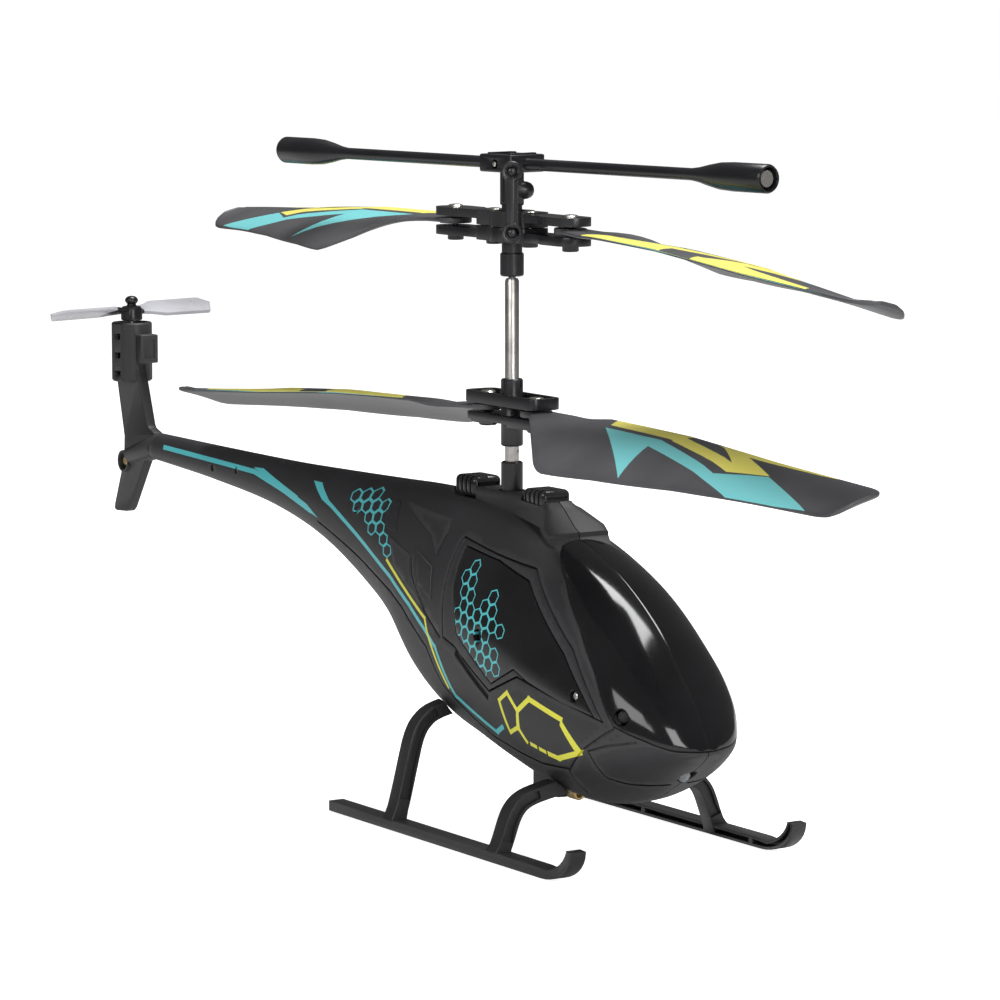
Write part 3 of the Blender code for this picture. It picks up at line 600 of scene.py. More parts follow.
# The print: a cyan line and a yellow line cross on the side, a honeycomb stands behind them,
# two yellow hexagons are on the lower panel and a cyan flash runs along the boom.
CYAN_LINES = (
    ([(-43.2, 40.1), (-16.0, 31.9), (-8.9, 29.0), (-3.6, 26.3), (-0.6, 24.4), (2.7, 19.4), (3.6, 18.3),
      (13.6, 14.9), (16.0, 16.0)], 0.62),
    ([(-94.8, 41.7), (-65.4, 41.0), (-56.0, 39.4), (-46.5, 37.4)], 0.7),
)
CYAN_FLASH = (
    [(-66, 41.6), (-63, 41.7), (-50.5, 39.0), (-52.5, 38.4)],
    [(-56.5, 40.2), (-47.5, 38.2), (-43.6, 36.6), (-49.0, 37.6)],
    [(-47, 41.6), (-44.4, 41.6), (-37.6, 38.2), (-42.6, 39.4)],
)
YELLOW_LINES = (
    ([(-17.5, 34.0), (-3.7, 27.9), (-3.0, 26.2), (1.8, 19.3)], 0.5),
    ([(16.4, 19.7), (18.4, 21.0), (20.6, 18.9), (20.2, 16.6), (17.9, 15.6), (16.4, 19.7)], 0.55),
    ([(20.6, 18.9), (23.2, 20.8), (29.4, 19.0)], 0.7),
    ([(20.6, 18.9), (20.4, 16.4), (21.6, 14.9)], 0.55),
    ([(22.6, 14.7), (23.5, 14.5)], 0.55),
    ([(24.4, 14.3), (25.3, 14.1)], 0.55),
    ([(26.2, 13.9), (28.0, 13.6), (32.5, 15.0)], 0.7),
)
YELLOW_WEDGE = ([(29.4, 19.0), (29.2, 18.2), (31.6, 15.0), (33.0, 15.1)],)
REAR_CELLS = (
    [(-35, 42), (-26, 42.2), (-24, 40.6), (-31, 38.2)],
    [(-29, 41.5), (-22.6, 41.6), (-21, 36.8), (-27, 37.4)],
    [(-24, 39.4), (-19.4, 38), (-16.2, 34.6), (-20.6, 35.0)],
)
CELL_SQUEEZE = 0.62
body_finish = moulded("printed_matte_black", (0.019, 0.019, 0.021), 0.5)
plan = body_finish.node("CombineXYZ", None, {0: body_finish.x, 1: body_finish.z, 2: 1.0})
cyan_outlines = [corners for line, width in CYAN_LINES for corners in strokes(line, width)]
yellow_outlines = [corners for line, width in YELLOW_LINES for corners in strokes(line, width)]
cyan = printed(body_finish, plan, [*cyan_outlines, *CYAN_FLASH])
rear_net = honeycomb(body_finish, body_finish.x * CELL_SQUEEZE, body_finish.z, 1.75, math.radians(12), 0.2,
                     [[(x * CELL_SQUEEZE, z) for x, z in cells] for cells in REAR_CELLS])
cyan = cyan.most(rear_net)
yellow = printed(body_finish, plan, [*yellow_outlines, *YELLOW_WEDGE])
side_only = body_finish.y.size().over(1.2)
coloured = body_finish.mix(cyan * side_only, body_finish.colour, CYAN)
coloured = body_finish.mix(yellow * side_only, coloured, YELLOW)
body_finish.feed("Base Color", coloured)
body_finish.feed("Roughness", body_finish.gloss - cyan.most(yellow) * side_only * 0.12)

left = twin(shell, "left_half")
finished(shell, body_finish, "fuselage", "right_shell")
finished(left, body_finish, "fuselage", "left_shell")

# Raised facets stand between the window and the honeycomb.
FACETS = (
    [(-17.7, 41.9), (-4.2, 40.9), (-3.0, 39.2), (-3.2, 36.4), (-6.2, 38.6)],
    [(-23.0, 41.9), (-19.2, 41.6), (-16.4, 37.8), (-19.4, 38.2)],
    [(-17.6, 37.2), (-10.8, 35.6), (-9.4, 33.0), (-4.0, 29.2), (-14.6, 33.6)],
    [(-8.6, 36.4), (-3.4, 34.8), (-2.2, 30.6), (-6.4, 32.2)],
)
for number, outline in enumerate(FACETS, 1):
    facet = relief(f"right_facet_{number}", outline, 0.16)
    other = twin(facet, f"left_facet_{number}")
    for piece in (facet, other):
        finished(piece, body_finish, "fuselage")

# ---------------------------------------------------------------- canopy
# The nose bubble is one glossy black moulding that snaps into the shell. It has a fine
# mould line down its middle and a round hole low on each side, with a peg of the shell in it.
gloss_finish = moulded("polished_black", (0.008, 0.008, 0.009), 0.1, 0.6, 0.0006, 0.01)
CANOPY_WALL = 0.8
PEG_Z = 20.3
canopy = hull("canopy_bubble", start=10.0, step=0.5, around=144)
cut(canopy, hull("canopy_hollow", -CANOPY_WALL, CANOPY_WALL, start=0.0))
keep(canopy, slab("canopy_region", moved(CANOPY, GAP * 0.7), -30, 30))
for side in (-1, 1):
    cut(canopy, rod("peg_hole", 1.05, (36, side * 5.5, PEG_Z), (43, side * 12.5, PEG_Z)))
groove_cutter = cut(block("mould_line", (60, 0.09, 60), (40, 0, 30)), hull("mould_floor", -0.05))
cut(canopy, groove_cutter)
rounded(canopy, 0.15, 50)
finished(canopy, gloss_finish, "fuselage", "canopy")
for side, word in ((-1, "right"), (1, "left")):
    peg = rod(f"{word}_peg", 0.85, (36.2, side * 5.4, PEG_Z), (38.6, side * 7.9, PEG_Z))
    finished(rounded(peg, 0.15), body_finish, "fuselage")

# ---------------------------------------------------------------- side windows
# Each window is a polished panel in a matte frame that snaps into the shell; a cyan
# honeycomb is printed on it, with a sunk screw in its middle and one in its front corner.
CELLS = (
    [(5.2, 36.6), (8.2, 37.0), (9.2, 33.2), (8.6, 31.0), (5.0, 31.0)],
    [(5.0, 32.6), (9.0, 32.0), (11.4, 30.9), (11.6, 29.4), (9.0, 24.6), (5.2, 28.4)],
    [(10.6, 30.2), (12.6, 33.4), (14.6, 32.8), (13.0, 29.0)],
    [(12.4, 30.4), (16.4, 30.2), (16.4, 28.2), (12.0, 27.6)],
    [(8.6, 28.4), (13.0, 28.6), (15.2, 26.4), (17.0, 23.2), (13.4, 22.2), (9.2, 24.6)],
)
window_finish = moulded("printed_polished_black", (0.009, 0.009, 0.010), 0.14, 0.6, 0.0006, 0.01)
cells = honeycomb(window_finish, window_finish.x, window_finish.z, 1.9, math.radians(-14), 0.17, CELLS)
window_finish.feed("Base Color", window_finish.mix(cells, window_finish.colour, CYAN))
window_finish.feed("Roughness", window_finish.gloss + cells * 0.25)
body = hull("door_skin", start=-5.0, end=42.0, step=0.5)
cut(body, block("other_half", (200, 40, 80), (-20, 20 - GAP / 4, 30)))
cut(body, hull("door_hollow", -0.9, 0.0))
use(body)
bpy.ops.object.duplicate()
frame_piece = bpy.context.object
frame_piece.name = "right_window_frame"
keep(frame_piece, slab("frame_region", moved(DOOR, GAP), -30, -3.5))
cut(frame_piece, slab("frame_hole", WINDOW, -31, -3))
rounded(frame_piece, 0.22, 50, 3)
pane = keep(body, slab("pane_region", moved(WINDOW, GAP * 0.7), -30, -3.5))
pane.name = "right_window"
cut(pane, rod("screw_hole", 0.95, (11.0, -14.5, 27.5), (11.0, -10.5, 27.5)))
cut(pane, rod("corner_hole", 0.75, (32.1, -13.5, 22.2), (31.0, -9.0, 22.2)))
rounded(pane, 0.15, 50, 3)
other_pane = twin(pane, "left_window")
for piece, node in ((pane, "right_door"), (other_pane, "left_door")):
    finished(piece, window_finish, "fuselage", node)
for piece in (frame_piece, twin(frame_piece, "left_window_frame")):
    finished(piece, body_finish, "fuselage")

# ---------------------------------------------------------------- rotor blades
# Four thin cambered blades of satin dark grey plastic. Each is held by one pivot screw
# in a round lug, and has a turquoise and yellow flash printed on its upper face.
PIVOTS = {"lower": 6.0, "upper": 14.2}
HEIGHTS = {"lower": 55.75, "upper": 80.6}
ROTOR_RADIUS = 85.0
ROOT_CORNER = Vector((29.1, 14.0))
LEAD_HEIGHT = ((14, -0.3), (20, 0.35), (28, 0.35), (40, 0.25), (60, -0.75), (ROTOR_RADIUS, -1.6))
PITCH = ((27, 0.03), (55, -0.14), (83, 0.22))
CAMBER = ((27, 0.014), (55, 0.032), (83, 0.013))
EDGE_HALF, BELLY_HALF, TIP_THINNING = 0.14, 0.2, 0.75
PRINT_LENGTH, PRINT_WIDTH = 100, 20
BLADE_CYAN = (
    [(25.2, 4.3), (40.3, 4.8), (40.7, 7.2)],
    [(25.2, 4.3), (40.7, 7.2), (44.5, 13.9)],
    [(40.0, 4.8), (58.2, 8.4), (65.6, 11.0), (40.7, 7.2)],
    [(58.2, 8.4), (66.1, 5.3), (78.9, 8.5), (65.6, 11.0)],
)
BLADE_YELLOW = (
    [(21.6, 0.0), (41.3, 0.0), (41.7, 3.9), (24.6, 3.1)],
    [(41.2, 1.8), (57.9, 5.3), (59.5, 7.3), (41.5, 4.2)],
    [(57.7, 5.3), (56.8, 2.3), (66.0, 5.1), (59.5, 7.3)],
    [(48.4, 0.8), (56.8, 2.3), (57.7, 5.3)],
    [(48.4, 0.0), (73.9, 0.0), (73.9, 0.5), (56.8, 2.3), (48.4, 1.2)],
)


def value_at(points, position):
    """The value at a position on a line of (position, value) points."""
    if position <= points[0][0]:
        return points[0][1]
    for a, b in zip(points, points[1:]):
        if position <= b[0]:
            break
    return a[1] + (b[1] - a[1]) * min((position - a[0]) / (b[0] - a[0]), 1)


def bend(start, corner, end, count=6):
    """Points of a rounded corner between two points."""
    start, corner, end = Vector(start), Vector(corner), Vector(end)
    shares = [n / count for n in range(count + 1)]
    return [tuple(start.lerp(corner, t).lerp(corner.lerp(end, t), t)) for t in shares]


def blade_height(pivot, radius, chord):
    """Height of the blade's middle surface, chord millimetres behind its leading edge."""
    curl = min(max((radius - pivot - 4.6) / 8, 0), 1)
    drop = value_at(PITCH, radius) * chord + value_at(CAMBER, radius) * chord * chord
    return curl * curl * (3 - 2 * curl) * (value_at(LEAD_HEIGHT, radius) - drop)


def blade(name, place, turn, side, sweep, droop):
    """A blade skinned over cross-sections, with its lug, turned and swung to its rest place."""
    pivot, height = PIVOTS[place], HEIGHTS[place]
    grip = Vector((pivot + (4.5 if place == "upper" else 2.4), 2.6))
    front = [(pivot, 2.1), (pivot + 4, 2.4), (pivot + 12, 3.5), (69, 2.7),
             *bend((80, 2.7), (84.2, 2.6), (ROTOR_RADIUS, -0.4))]
    back = [(pivot, 2.1), tuple(grip), *bend(ROOT_CORNER.lerp(grip, 0.17), ROOT_CORNER, (31.5, 13.3)),
            (80.6, 5.7), *bend((82.4, 5.4), (84.5, 5.1), (ROTOR_RADIUS, 3.0))]
    radii = {pivot + 1.15 * n for n in range(8)} | {30 + 2.5 * n for n in range(20)}
    radii |= {pivot + 10, 20.0, 21.5, 23, 24, 25, 26, 27.2, 28.2, 28.9, 80.6, 81.5, 82.4}
    radii |= {83, 83.5, 84, 84.4, 84.7, ROTOR_RADIUS}
    shares = [0.5 - 0.5 * math.cos(math.pi * n / 13) for n in range(14)]
    rings, places = [], []
    for radius in sorted(radii):
        lead, trail = value_at(front, radius), value_at(back, radius)
        top, under, top_uv, under_uv = [], [], [], []
        for share in shares:
            chord = share * (lead + trail)
            middle = blade_height(pivot, radius, chord)
            half = EDGE_HALF + BELLY_HALF * math.sqrt(max(1 - (2 * share - 1) ** 8, 0))
            if radius > ROTOR_RADIUS - 0.5:
                half *= TIP_THINNING
            top.append((radius - pivot, side * (chord - lead), middle + half))
            under.append((radius - pivot, side * (chord - lead), middle - half))
            top_uv.append((radius / PRINT_LENGTH, chord / PRINT_WIDTH))
            under_uv.append((radius / PRINT_LENGTH, 0.95))
        rings.append(top + under[::-1])
        places.append(top_uv + under_uv[::-1])
    obj = loft(name, rings)
    layer = obj.data.uv_layers.new(name="span")
    flat = [uv for ring in places for uv in ring]
    for loop in obj.data.loops:
        layer.data[loop.index].uv = flat[loop.vertex_index]
    join(obj, rounded(upright("lug", 2.2, -0.4, 0.4), 0.12))
    obj.data.transform(Matrix.Rotation(math.radians(droop), 4, "Y"))
    cut(obj, upright("pivot_hole", 0.8, -3, 3))
    centre = Matrix.Rotation(math.radians(turn), 4, "Z") @ Vector((pivot, 0, height))
    swung = Matrix.Rotation(math.radians(turn - side * sweep), 4, "Z")
    obj.data.transform(Matrix.Translation(centre) @ swung)
    finished(obj, blade_finish, name, name, smooth=40)


blade_finish = moulded("printed_satin_grey", (0.068, 0.068, 0.073), 0.42, 0.35, 0.003, 0.02)
span = blade_finish.node("UVMap", {"uv_map": "span"})
u, v = (blade_finish.node("SeparateXYZ", None, {0: span}, n) for n in (0, 1))
plan = blade_finish.node("CombineXYZ", None, {0: u * PRINT_LENGTH, 1: v * PRINT_WIDTH, 2: 1.0})
cyan = printed(blade_finish, plan, BLADE_CYAN)
yellow = printed(blade_finish, plan, BLADE_YELLOW)
shade = blade_finish.mix(cyan, blade_finish.colour, (0.20, 0.66, 0.68, 1))
blade_finish.feed("Base Color", blade_finish.mix(yellow, shade, (0.95, 0.86, 0.17, 1)))
blade("lower_blade_front", "lower", 0, -1, -2.6, 0.7)
blade("lower_blade_rear", "lower", 180, -1, 2.9, 1.7)
blade("upper_blade_front", "upper", 0, 1, 2.8, 2.3)
blade("upper_blade_rear", "upper", 180, 1, 5.0, 0.5)

# ---------------------------------------------------------------- mast
# The drawn steel mast tube carries the lower rotor and the rod inside it carries the upper
# one. A black collar with a chamfered mouth, pressed into the roof, guides the tube.
def turned(name, profile, place=None, vertices=48):
    """A solid pulled up ring by ring from a disc, through (radius, height) points."""
    bpy.ops.object.select_all(action="DESELECT")
    radius, height = profile[0]
    bpy.ops.mesh.primitive_circle_add(vertices=vertices, radius=radius, location=(0, 0, height),
                                      fill_type="NGON")
    obj = settled(bpy.context.object)
    obj.name = name
    bpy.ops.object.mode_set(mode="EDIT")
    bpy.ops.mesh.select_all(action="SELECT")
    for (r0, h0), (r1, h1) in zip(profile, profile[1:]):
        bpy.ops.mesh.extrude_region_move(TRANSFORM_OT_translate={"value": (0, 0, h1 - h0)})
        bpy.ops.transform.resize(value=(r1 / r0, r1 / r0, 1), center_override=(0, 0, h1))
    bpy.ops.mesh.select_all(action="SELECT")
    bpy.ops.mesh.normals_make_consistent(inside=False)
    bpy.ops.object.mode_set(mode="OBJECT")
    if place is not None:
        obj.data.transform(place)
    return obj


def drawn_metal(name, colour, roughness, stretch):
    """Bright metal with fine drawing marks, faint stains and small pits."""
    finish = Finish(name, roughness, 1.0)
    marks = finish.specks(0.12, 3.0, stretch)
    stains = finish.specks(2.2, 4.0)
    pits = finish.specks(0.35, 2.0)
    light, dark = (*colour, 1), (*[c * 0.55 for c in colour], 1)
    age = stains.rise(0.42, 0.75) * 0.6 + pits.rise(0.62, 0.75) * 0.4
    finish.feed("Base Color", finish.mix(age, light, dark))
    finish.feed("Roughness", roughness - 0.06 + marks * 0.16 + stains * 0.08)
    finish.raised(marks + pits * 0.5, 0.006)
    return finish


mast_steel = drawn_metal("drawn_steel", (0.60, 0.58, 0.55), 0.30, (1, 1, 0.08))
rotor_black = moulded("satin_black", (0.009, 0.009, 0.011), 0.30, 0.4, 0.0025, 0.03)
tube = turned("mast_tube", ((0.83, 24.0), (0.95, 24.2), (0.95, 73.15), (0.78, 73.5)))
cut(tube, upright("tube_bore", 0.7, 20, 80))
for height, turn in ((50.2, 0.5), (49.4, 2.2)):
    side = Vector((math.cos(turn), math.sin(turn), 0)) * 0.72
    cut(tube, rod("crimp", 0.2, side + Vector((0, 0, height)), side * 2 + Vector((0, 0, height)), 12))
finished(tube, mast_steel, "lower_rotor", "outer_shaft")
core = turned("inner_rod", ((0.36, 17.4), (0.5, 17.6), (0.5, 79.4), (0.38, 79.6)))
finished(core, mast_steel, "upper_rotor", "inner_shaft")
collar = turned("mast_collar", ((1.3, 33.0), (1.48, 33.2), (1.48, 48.62), (1.3, 48.8)))
cut(collar, upright("collar_bore", 1.15, 30, 60), rod("mouth", 1.15, (0, 0, 48.5), (0, 0, 48.9), 48, 1.3))
finished(rounded(collar, 0.05), rotor_black, "fuselage", "mast_bush")

# ---------------------------------------------------------------- lower rotor hub
# A moulded sleeve with two flat arms turns on the mast tube. The tray clamped over it has
# a raised rim, and two cross-head screws hold it, with the blade lugs between the two.
def deck(name, outline, z0, z1):
    """A plan outline raised from z0 to z1."""
    return loft(name, [[(x, y, z) for x, y in outline] for z in (z0, z1)])


def round_ended(length, width, corner, count=5):
    """The plan of a bar whose four corners have a radius."""
    points = []
    for quarter, (sx, sy) in enumerate(((1, 1), (-1, 1), (-1, -1), (1, -1))):
        for n in range(count + 1):
            angle = math.pi / 2 * (quarter + n / count)
            points.append((sx * (length / 2 - corner) + corner * math.cos(angle),
                           sy * (width / 2 - corner) + corner * math.sin(angle)))
    return points


def screw(name, x, y, head, length, body, node):
    """A cross-head screw: a domed head, a cross recess and a thread with turned rings."""
    profile = [(0.36, head - length)]
    rings = round(length / 0.4)
    for n in range(rings):
        base = head - length + (n + 0.2) * length / (rings + 1)
        profile += [(0.4, base), (0.5, base + 0.12), (0.4, base + 0.24)]
    profile += [(0.4, head - 0.02), (1.1, head), (1.1, head + 0.22), (0.9, head + 0.42), (0.5, head + 0.5)]
    piece = turned(name, profile, Matrix.Translation((x, y, 0)), 24)
    for turn in (0.4, 0.4 + math.pi / 2):
        cut(piece, block("recess", (1.3, 0.3, 0.5), (x, y, head + 0.45), turn))
    finished(piece, screw_steel, body, node)


screw_steel = drawn_metal("plated_steel", (0.72, 0.69, 0.64), 0.22, (1, 1, 1))
hub = turned("lower_sleeve", ((1.32, 50.9), (1.5, 51.1), (1.5, 59.8), (1.34, 60.0)))
join(hub, rounded(deck("hub_arms", round_ended(17.2, 4.4, 1.2), 54.0, 55.1), 0.15, 50))
for x in (-6, 6):
    boss = ((1.05, 53.2), (1.25, 53.35), (1.25, 54.3))
    join(hub, turned("hub_boss", boss, Matrix.Translation((x, 0, 0)), 32))
    for y in (1.7, -1.7):
        join(hub, block("hub_rib", (5.6, 0.5, 0.5), (x * 0.75, y, 53.9)))
    cut(hub, upright("thread_hole", 0.8, 53.7, 58, x))
for turn in range(4):
    spot = Matrix.Rotation(turn * math.pi / 2 + 0.35, 4, "Z") @ Vector((1.5, 0, 59.6))
    cut(hub, block("sleeve_slot", (0.5, 0.5, 1.6), spot, turn * math.pi / 2 + 0.35))
cut(hub, upright("sleeve_bore", 1.15, 40, 70))
finished(rounded(hub, 0.05, 50), rotor_black, "lower_rotor", "lower_hub")
tray = deck("clamp_tray", round_ended(17.2, 5.0, 1.3), 56.4, 58.0)
cut(tray, deck("tray_floor", round_ended(15.9, 3.7, 0.9), 57.3, 60), upright("tray_hole", 1.8, 50, 60))
for x in (-6, 6):
    cut(tray, upright("screw_hole", 0.8, 50, 60, x))
    join(tray, block("tray_rib", (0.35, 3.9, 0.4), (x * 0.55, 0, 57.4)))
finished(rounded(tray, 0.12, 50, 3), rotor_black, "lower_rotor", "lower_clamp")
for word, x in (("front", 6), ("rear", -6)):
    screw(f"lower_{word}_pivot", x, 0, 57.5, 3.3, "lower_rotor", f"lower_screw_{word}")

# ---------------------------------------------------------------- upper rotor hub
# Two black halves clamp the upper blades' lugs between round-ended jaws and tilt on a pin
# through the head; four cross-head screws go down into bosses under the lower half.
LINK_TURN = math.radians(-32.8)
HUB_PIN_Z = 80.5
JAW_REACH, JAW_RADIUS = 14.6, 2.5
HUB_BALL_Z = 80.0
SCREW_PLACES = (-14.2, -4.4, 4.4, 14.2)
outward = Vector((math.cos(LINK_TURN), math.sin(LINK_TURN), 0))


def hub_half(name, z0, z1, jaw0, jaw1):
    """One half of the hub: a middle block and two jaws, holed for the post and the pin."""
    half = deck(name, round_ended(11.6, 4.6, 0.7), z0, z1)
    join(half, upright("middle", 3.05, z0, z1))
    for side in (-1, 1):
        edge = ((4.0, -1.9), (9.6, -1.9), (10.6, -JAW_RADIUS), (JAW_REACH, -JAW_RADIUS))
        turns = [n * math.pi / 14 for n in range(1, 14)]
        nose = [(JAW_REACH + JAW_RADIUS * math.sin(a), -JAW_RADIUS * math.cos(a)) for a in turns]
        jaw = [*edge, *nose, *((x, -y) for x, y in reversed(edge))]
        join(half, deck("jaw", [(side * x, y) for x, y in jaw], jaw0, jaw1))
    cut(half, upright("post_hole", 2.0, 70, 90))
    reach = Vector((-math.sin(LINK_TURN), math.cos(LINK_TURN), 0)) * 8
    level = Vector((0, 0, HUB_PIN_Z))
    return cut(half, rod("pin_groove", 0.62, level - reach, level + reach))


def ball_stalk(start, height):
    """A stalk that ends in a ball for one of the link rod's eyes."""
    profile = ((0.42, start), (0.42, 5.9), (0.55, 6.0), (0.68, 6.3), (0.68, 6.7), (0.5, 7.0), (0.2, 7.15))
    return turned("stalk", profile, Matrix.Translation((0, 0, height)) @ facing(outward), 24)


upper = hub_half("upper_jaws", 80.56, 82.6, 81.3, 82.45)
lower = hub_half("lower_jaws", 78.5, 80.44, 78.7, 79.9)
for x in SCREW_PLACES:
    boss = ((0.95, 77.9), (1.1, 78.0), (1.1, 79.2))
    join(lower, turned("jaw_boss", boss, Matrix.Translation((x, 0, 0)), 32))
    for half in (upper, lower):
        cut(half, upright("screw_hole", 0.8, 78.4, 90, x))
    cut(upper, upright("head_seat", 1.2, 82.05, 90, x))
for half, node in ((upper, "hub_top"), (lower, "hub_bottom")):
    rounded(half, 0.07, 45)
    if node == "hub_bottom":
        join(half, ball_stalk(2.4, HUB_BALL_Z))
    finished(half, rotor_black, "upper_hub", node)
for number, x in enumerate(SCREW_PLACES, 1):
    screw(f"jaw_screw_{number}", x, 0, 82.3, 3.7, "upper_hub", f"hub_screw_{number}")

# ---------------------------------------------------------------- rotor head and flybar
# The head is a ribbed upright post on a stepped sleeve, pinned to the inner rod. Its steel
# pins carry the tilting hub below and the flybar, whose ends hold steel slugs.
FLYBAR_TURN = math.radians(6.9)
FLYBAR_Z = 88.9
FLYBAR_BALL_Z = 88.15
along = Vector((math.cos(FLYBAR_TURN), math.sin(FLYBAR_TURN), 0))
across = Vector((-along.y, along.x, 0))
pivot = Vector((0, 0, FLYBAR_Z))
hinge = Vector((0, 0, HUB_PIN_Z))
pin_way = Vector((-outward.y, outward.x, 0))

head = turned("head_post", ((1.42, 73.8), (1.6, 74.0), (1.6, 76.8), (1.38, 77.0), (1.38, 83.4)))
post = block("post", (2.7, 2.2, 6.3), (0, 0, 86.45), FLYBAR_TURN, 0.25)
for side in (-1, 1):
    spot = across * side * 1.1 + Vector((0, 0, 85.6))
    cut(post, block("post_panel", (1.3, 0.5, 3.6), spot, FLYBAR_TURN))
join(head, post)
knob_way = facing((0.47, 0.88, 0))
KNOB = ((1.0, 0.4), (1.2, 0.6), (1.25, 1.5), (1.15, 2.1), (0.95, 2.55), (0.6, 2.85), (0.25, 2.95))
join(head, turned("knob", KNOB, Matrix.Translation((0, 0, 85.3)) @ knob_way, 32))
cut(head, upright("head_bore", 0.7, 70, 79.9))
cut(head, rod("flybar_pin_hole", 0.62, pivot - across * 5, pivot + across * 5))
cut(head, rod("hub_pin_hole", 0.62, hinge - pin_way * 5, hinge + pin_way * 5))
finished(rounded(head, 0.06, 50), rotor_black, "upper_rotor", "rotor_head")


def pin(name, middle, way, half, node):
    """A ground pin with chamfered ends."""
    lie = Matrix.Translation(middle) @ facing(way)
    piece = turned(name, ((0.24, -half), (0.34, 0.1 - half), (0.34, half - 0.1), (0.24, half)), lie, 24)
    finished(piece, screw_steel, "upper_rotor", node)


pin("flybar_hinge_pin", pivot, across, 3.2, "flybar_pin")
pin("hub_hinge_pin", hinge, pin_way, 2.7, "hub_pin")

bar = block("flybar_middle", (6.6, 6.0, 2.4), (0, 0, FLYBAR_Z + 0.1), FLYBAR_TURN, 0.25)
ARM = (
    (0.8, 2.6), (0.8, 36.0), (1.0, 37.6), (1.38, 39.4), (1.75, 41.6), (1.87, 44.0), (1.87, 50.1),
    (1.72, 50.4),
)
SLUG = ((0.8, 46.3), (1.2, 46.5), (1.2, 49.75), (1.05, 50.0))
middle = Matrix.Translation(pivot) @ Matrix.Rotation(FLYBAR_TURN, 4, "Z")
for word, side in (("front", 1), ("rear", -1)):
    lie = middle @ Matrix.Rotation(side * math.pi / 2, 4, "Y")
    join(bar, turned("arm", ARM, lie))
    cut(bar, turned("slug_hole", ((1.5, 46.0), (1.5, 52.0)), lie))
    slug = turned(f"{word}_slug", SLUG, lie)
    finished(slug, screw_steel, "flybar", f"flybar_slug_{word}")
for side in (-1, 1):
    spot = pivot + along * 2.1 * side + Vector((0, 0, 1.25))
    join(bar, block("middle_tab", (0.9, 4.4, 0.5), spot, FLYBAR_TURN, 0.1))
    spot = pivot + along * 2.7 * side + across * 1.7 * side
    cut(bar, block("middle_slot", (0.5, 1.4, 3), spot, FLYBAR_TURN))
join(bar, ball_stalk(2.6, FLYBAR_BALL_Z))
cut(bar, block("post_slot", (4.0, 2.9, 8), (0, 0, FLYBAR_Z), FLYBAR_TURN))
cut(bar, rod("pin_hole", 0.64, pivot - across * 5, pivot + across * 5))
finished(rounded(bar, 0.05, 50), rotor_black, "flybar", "flybar")

# ---------------------------------------------------------------- link rod
# A small black rod snaps with a round eye over a ball on the flybar and one on the hub,
# so that the hub copies the flybar's tilt. A rib runs down each side of it.
LINK_REACH = 6.5
eyes = [outward * LINK_REACH + Vector((0, 0, z)) for z in (FLYBAR_BALL_Z, HUB_BALL_Z)]
link = block("link", (0.8, 1.7, 6.4), (eyes[0] + eyes[1]) / 2, LINK_TURN, 0.12)
join(link, block("link_rib", (1.05, 0.7, 6.4), (eyes[0] + eyes[1]) / 2, LINK_TURN, 0.1))
EYE = ((1.25, -0.5), (1.4, -0.38), (1.4, 0.38), (1.28, 0.5), (1.22, 0.5), (1.18, 0.38))
for eye in eyes:
    join(link, turned("eye", EYE, Matrix.Translation(eye) @ facing(outward)))
for eye in eyes:
    cut(link, rod("eye_hole", 0.98, eye - outward * 3, eye + outward * 3, 48))
finished(rounded(link, 0.04, 50), rotor_black, "link", "link_rod")

# ---------------------------------------------------------------- roof vents
# Two glossy black caps stand on the pylon before and behind the mast collar. Ribs run over
# each one and down its sides, and the halves' mould seam shows on top.
def vent(name, x, top, node):
    """A rounded cap with grooves round it between its ribs."""
    piece = block(name, (5.2, 4.6, 2.8), (x, 0, top - 1.4), 0, 0.8, 5)
    for rib in (-1.5, -0.5, 0.5, 1.5):
        gap = block("rib_gap", (0.42, 6, 4), (x + rib * 1.06, 0, top - 1.4))
        cut(piece, cut(gap, block("core", (1, 3.8, 3.2), (x + rib * 1.06, 0, top - 2.0), 0, 0.45)))
    for drop in (1.0, 1.7):
        gap = block("face_gap", (7, 3.4, 0.3), (x, 0, top - drop))
        cut(piece, cut(gap, block("core", (4.5, 4, 1), (x, 0, top - drop))))
    cut(piece, block("seam", (9, 0.12, 0.5), (x, 0, top)))
    finished(rounded(piece, 0.06, 50), vent_finish, "fuselage", node)


vent_finish = moulded("glossy_black_cap", (0.010, 0.010, 0.012), 0.17, 0.5, 0.002, 0.05)
vent("front_cap", VENT_X, 46.0, "front_vent")
vent("rear_cap", -VENT_X, 46.2, "rear_vent")

# ---------------------------------------------------------------- landing skids
# Each skid is one black moulding: a rail with an upturned toe and two bowed legs that go
# into the belly. Rail and legs are channels, with round ejector bosses inside the rail.
RAIL_REAR, RAIL_FRONT, TOE = -17.8, 42.3, 4.4
LEGS = (
    (23.4, ((17.3, 0.8), (16.5, 2.6), (15.7, 4.9), (15.0, 6.4), (13.8, 7.6), (11.5, 8.4), (4.0, 9.6))),
    (-2.4, ((17.3, 0.8), (16.3, 4.0), (14.9, 9.6), (14.2, 12.2), (13.2, 14.0), (11.2, 15.5), (6.0, 16.4))),
)


def softened(line):
    """A line with its corners cut twice over; its ends stay."""
    points = [Vector(p) for p in line]
    for _ in range(2):
        pairs = list(zip(points, points[1:]))
        points = [points[0], *(a.lerp(b, share) for a, b in pairs for share in (0.25, 0.75)), points[-1]]
    return points


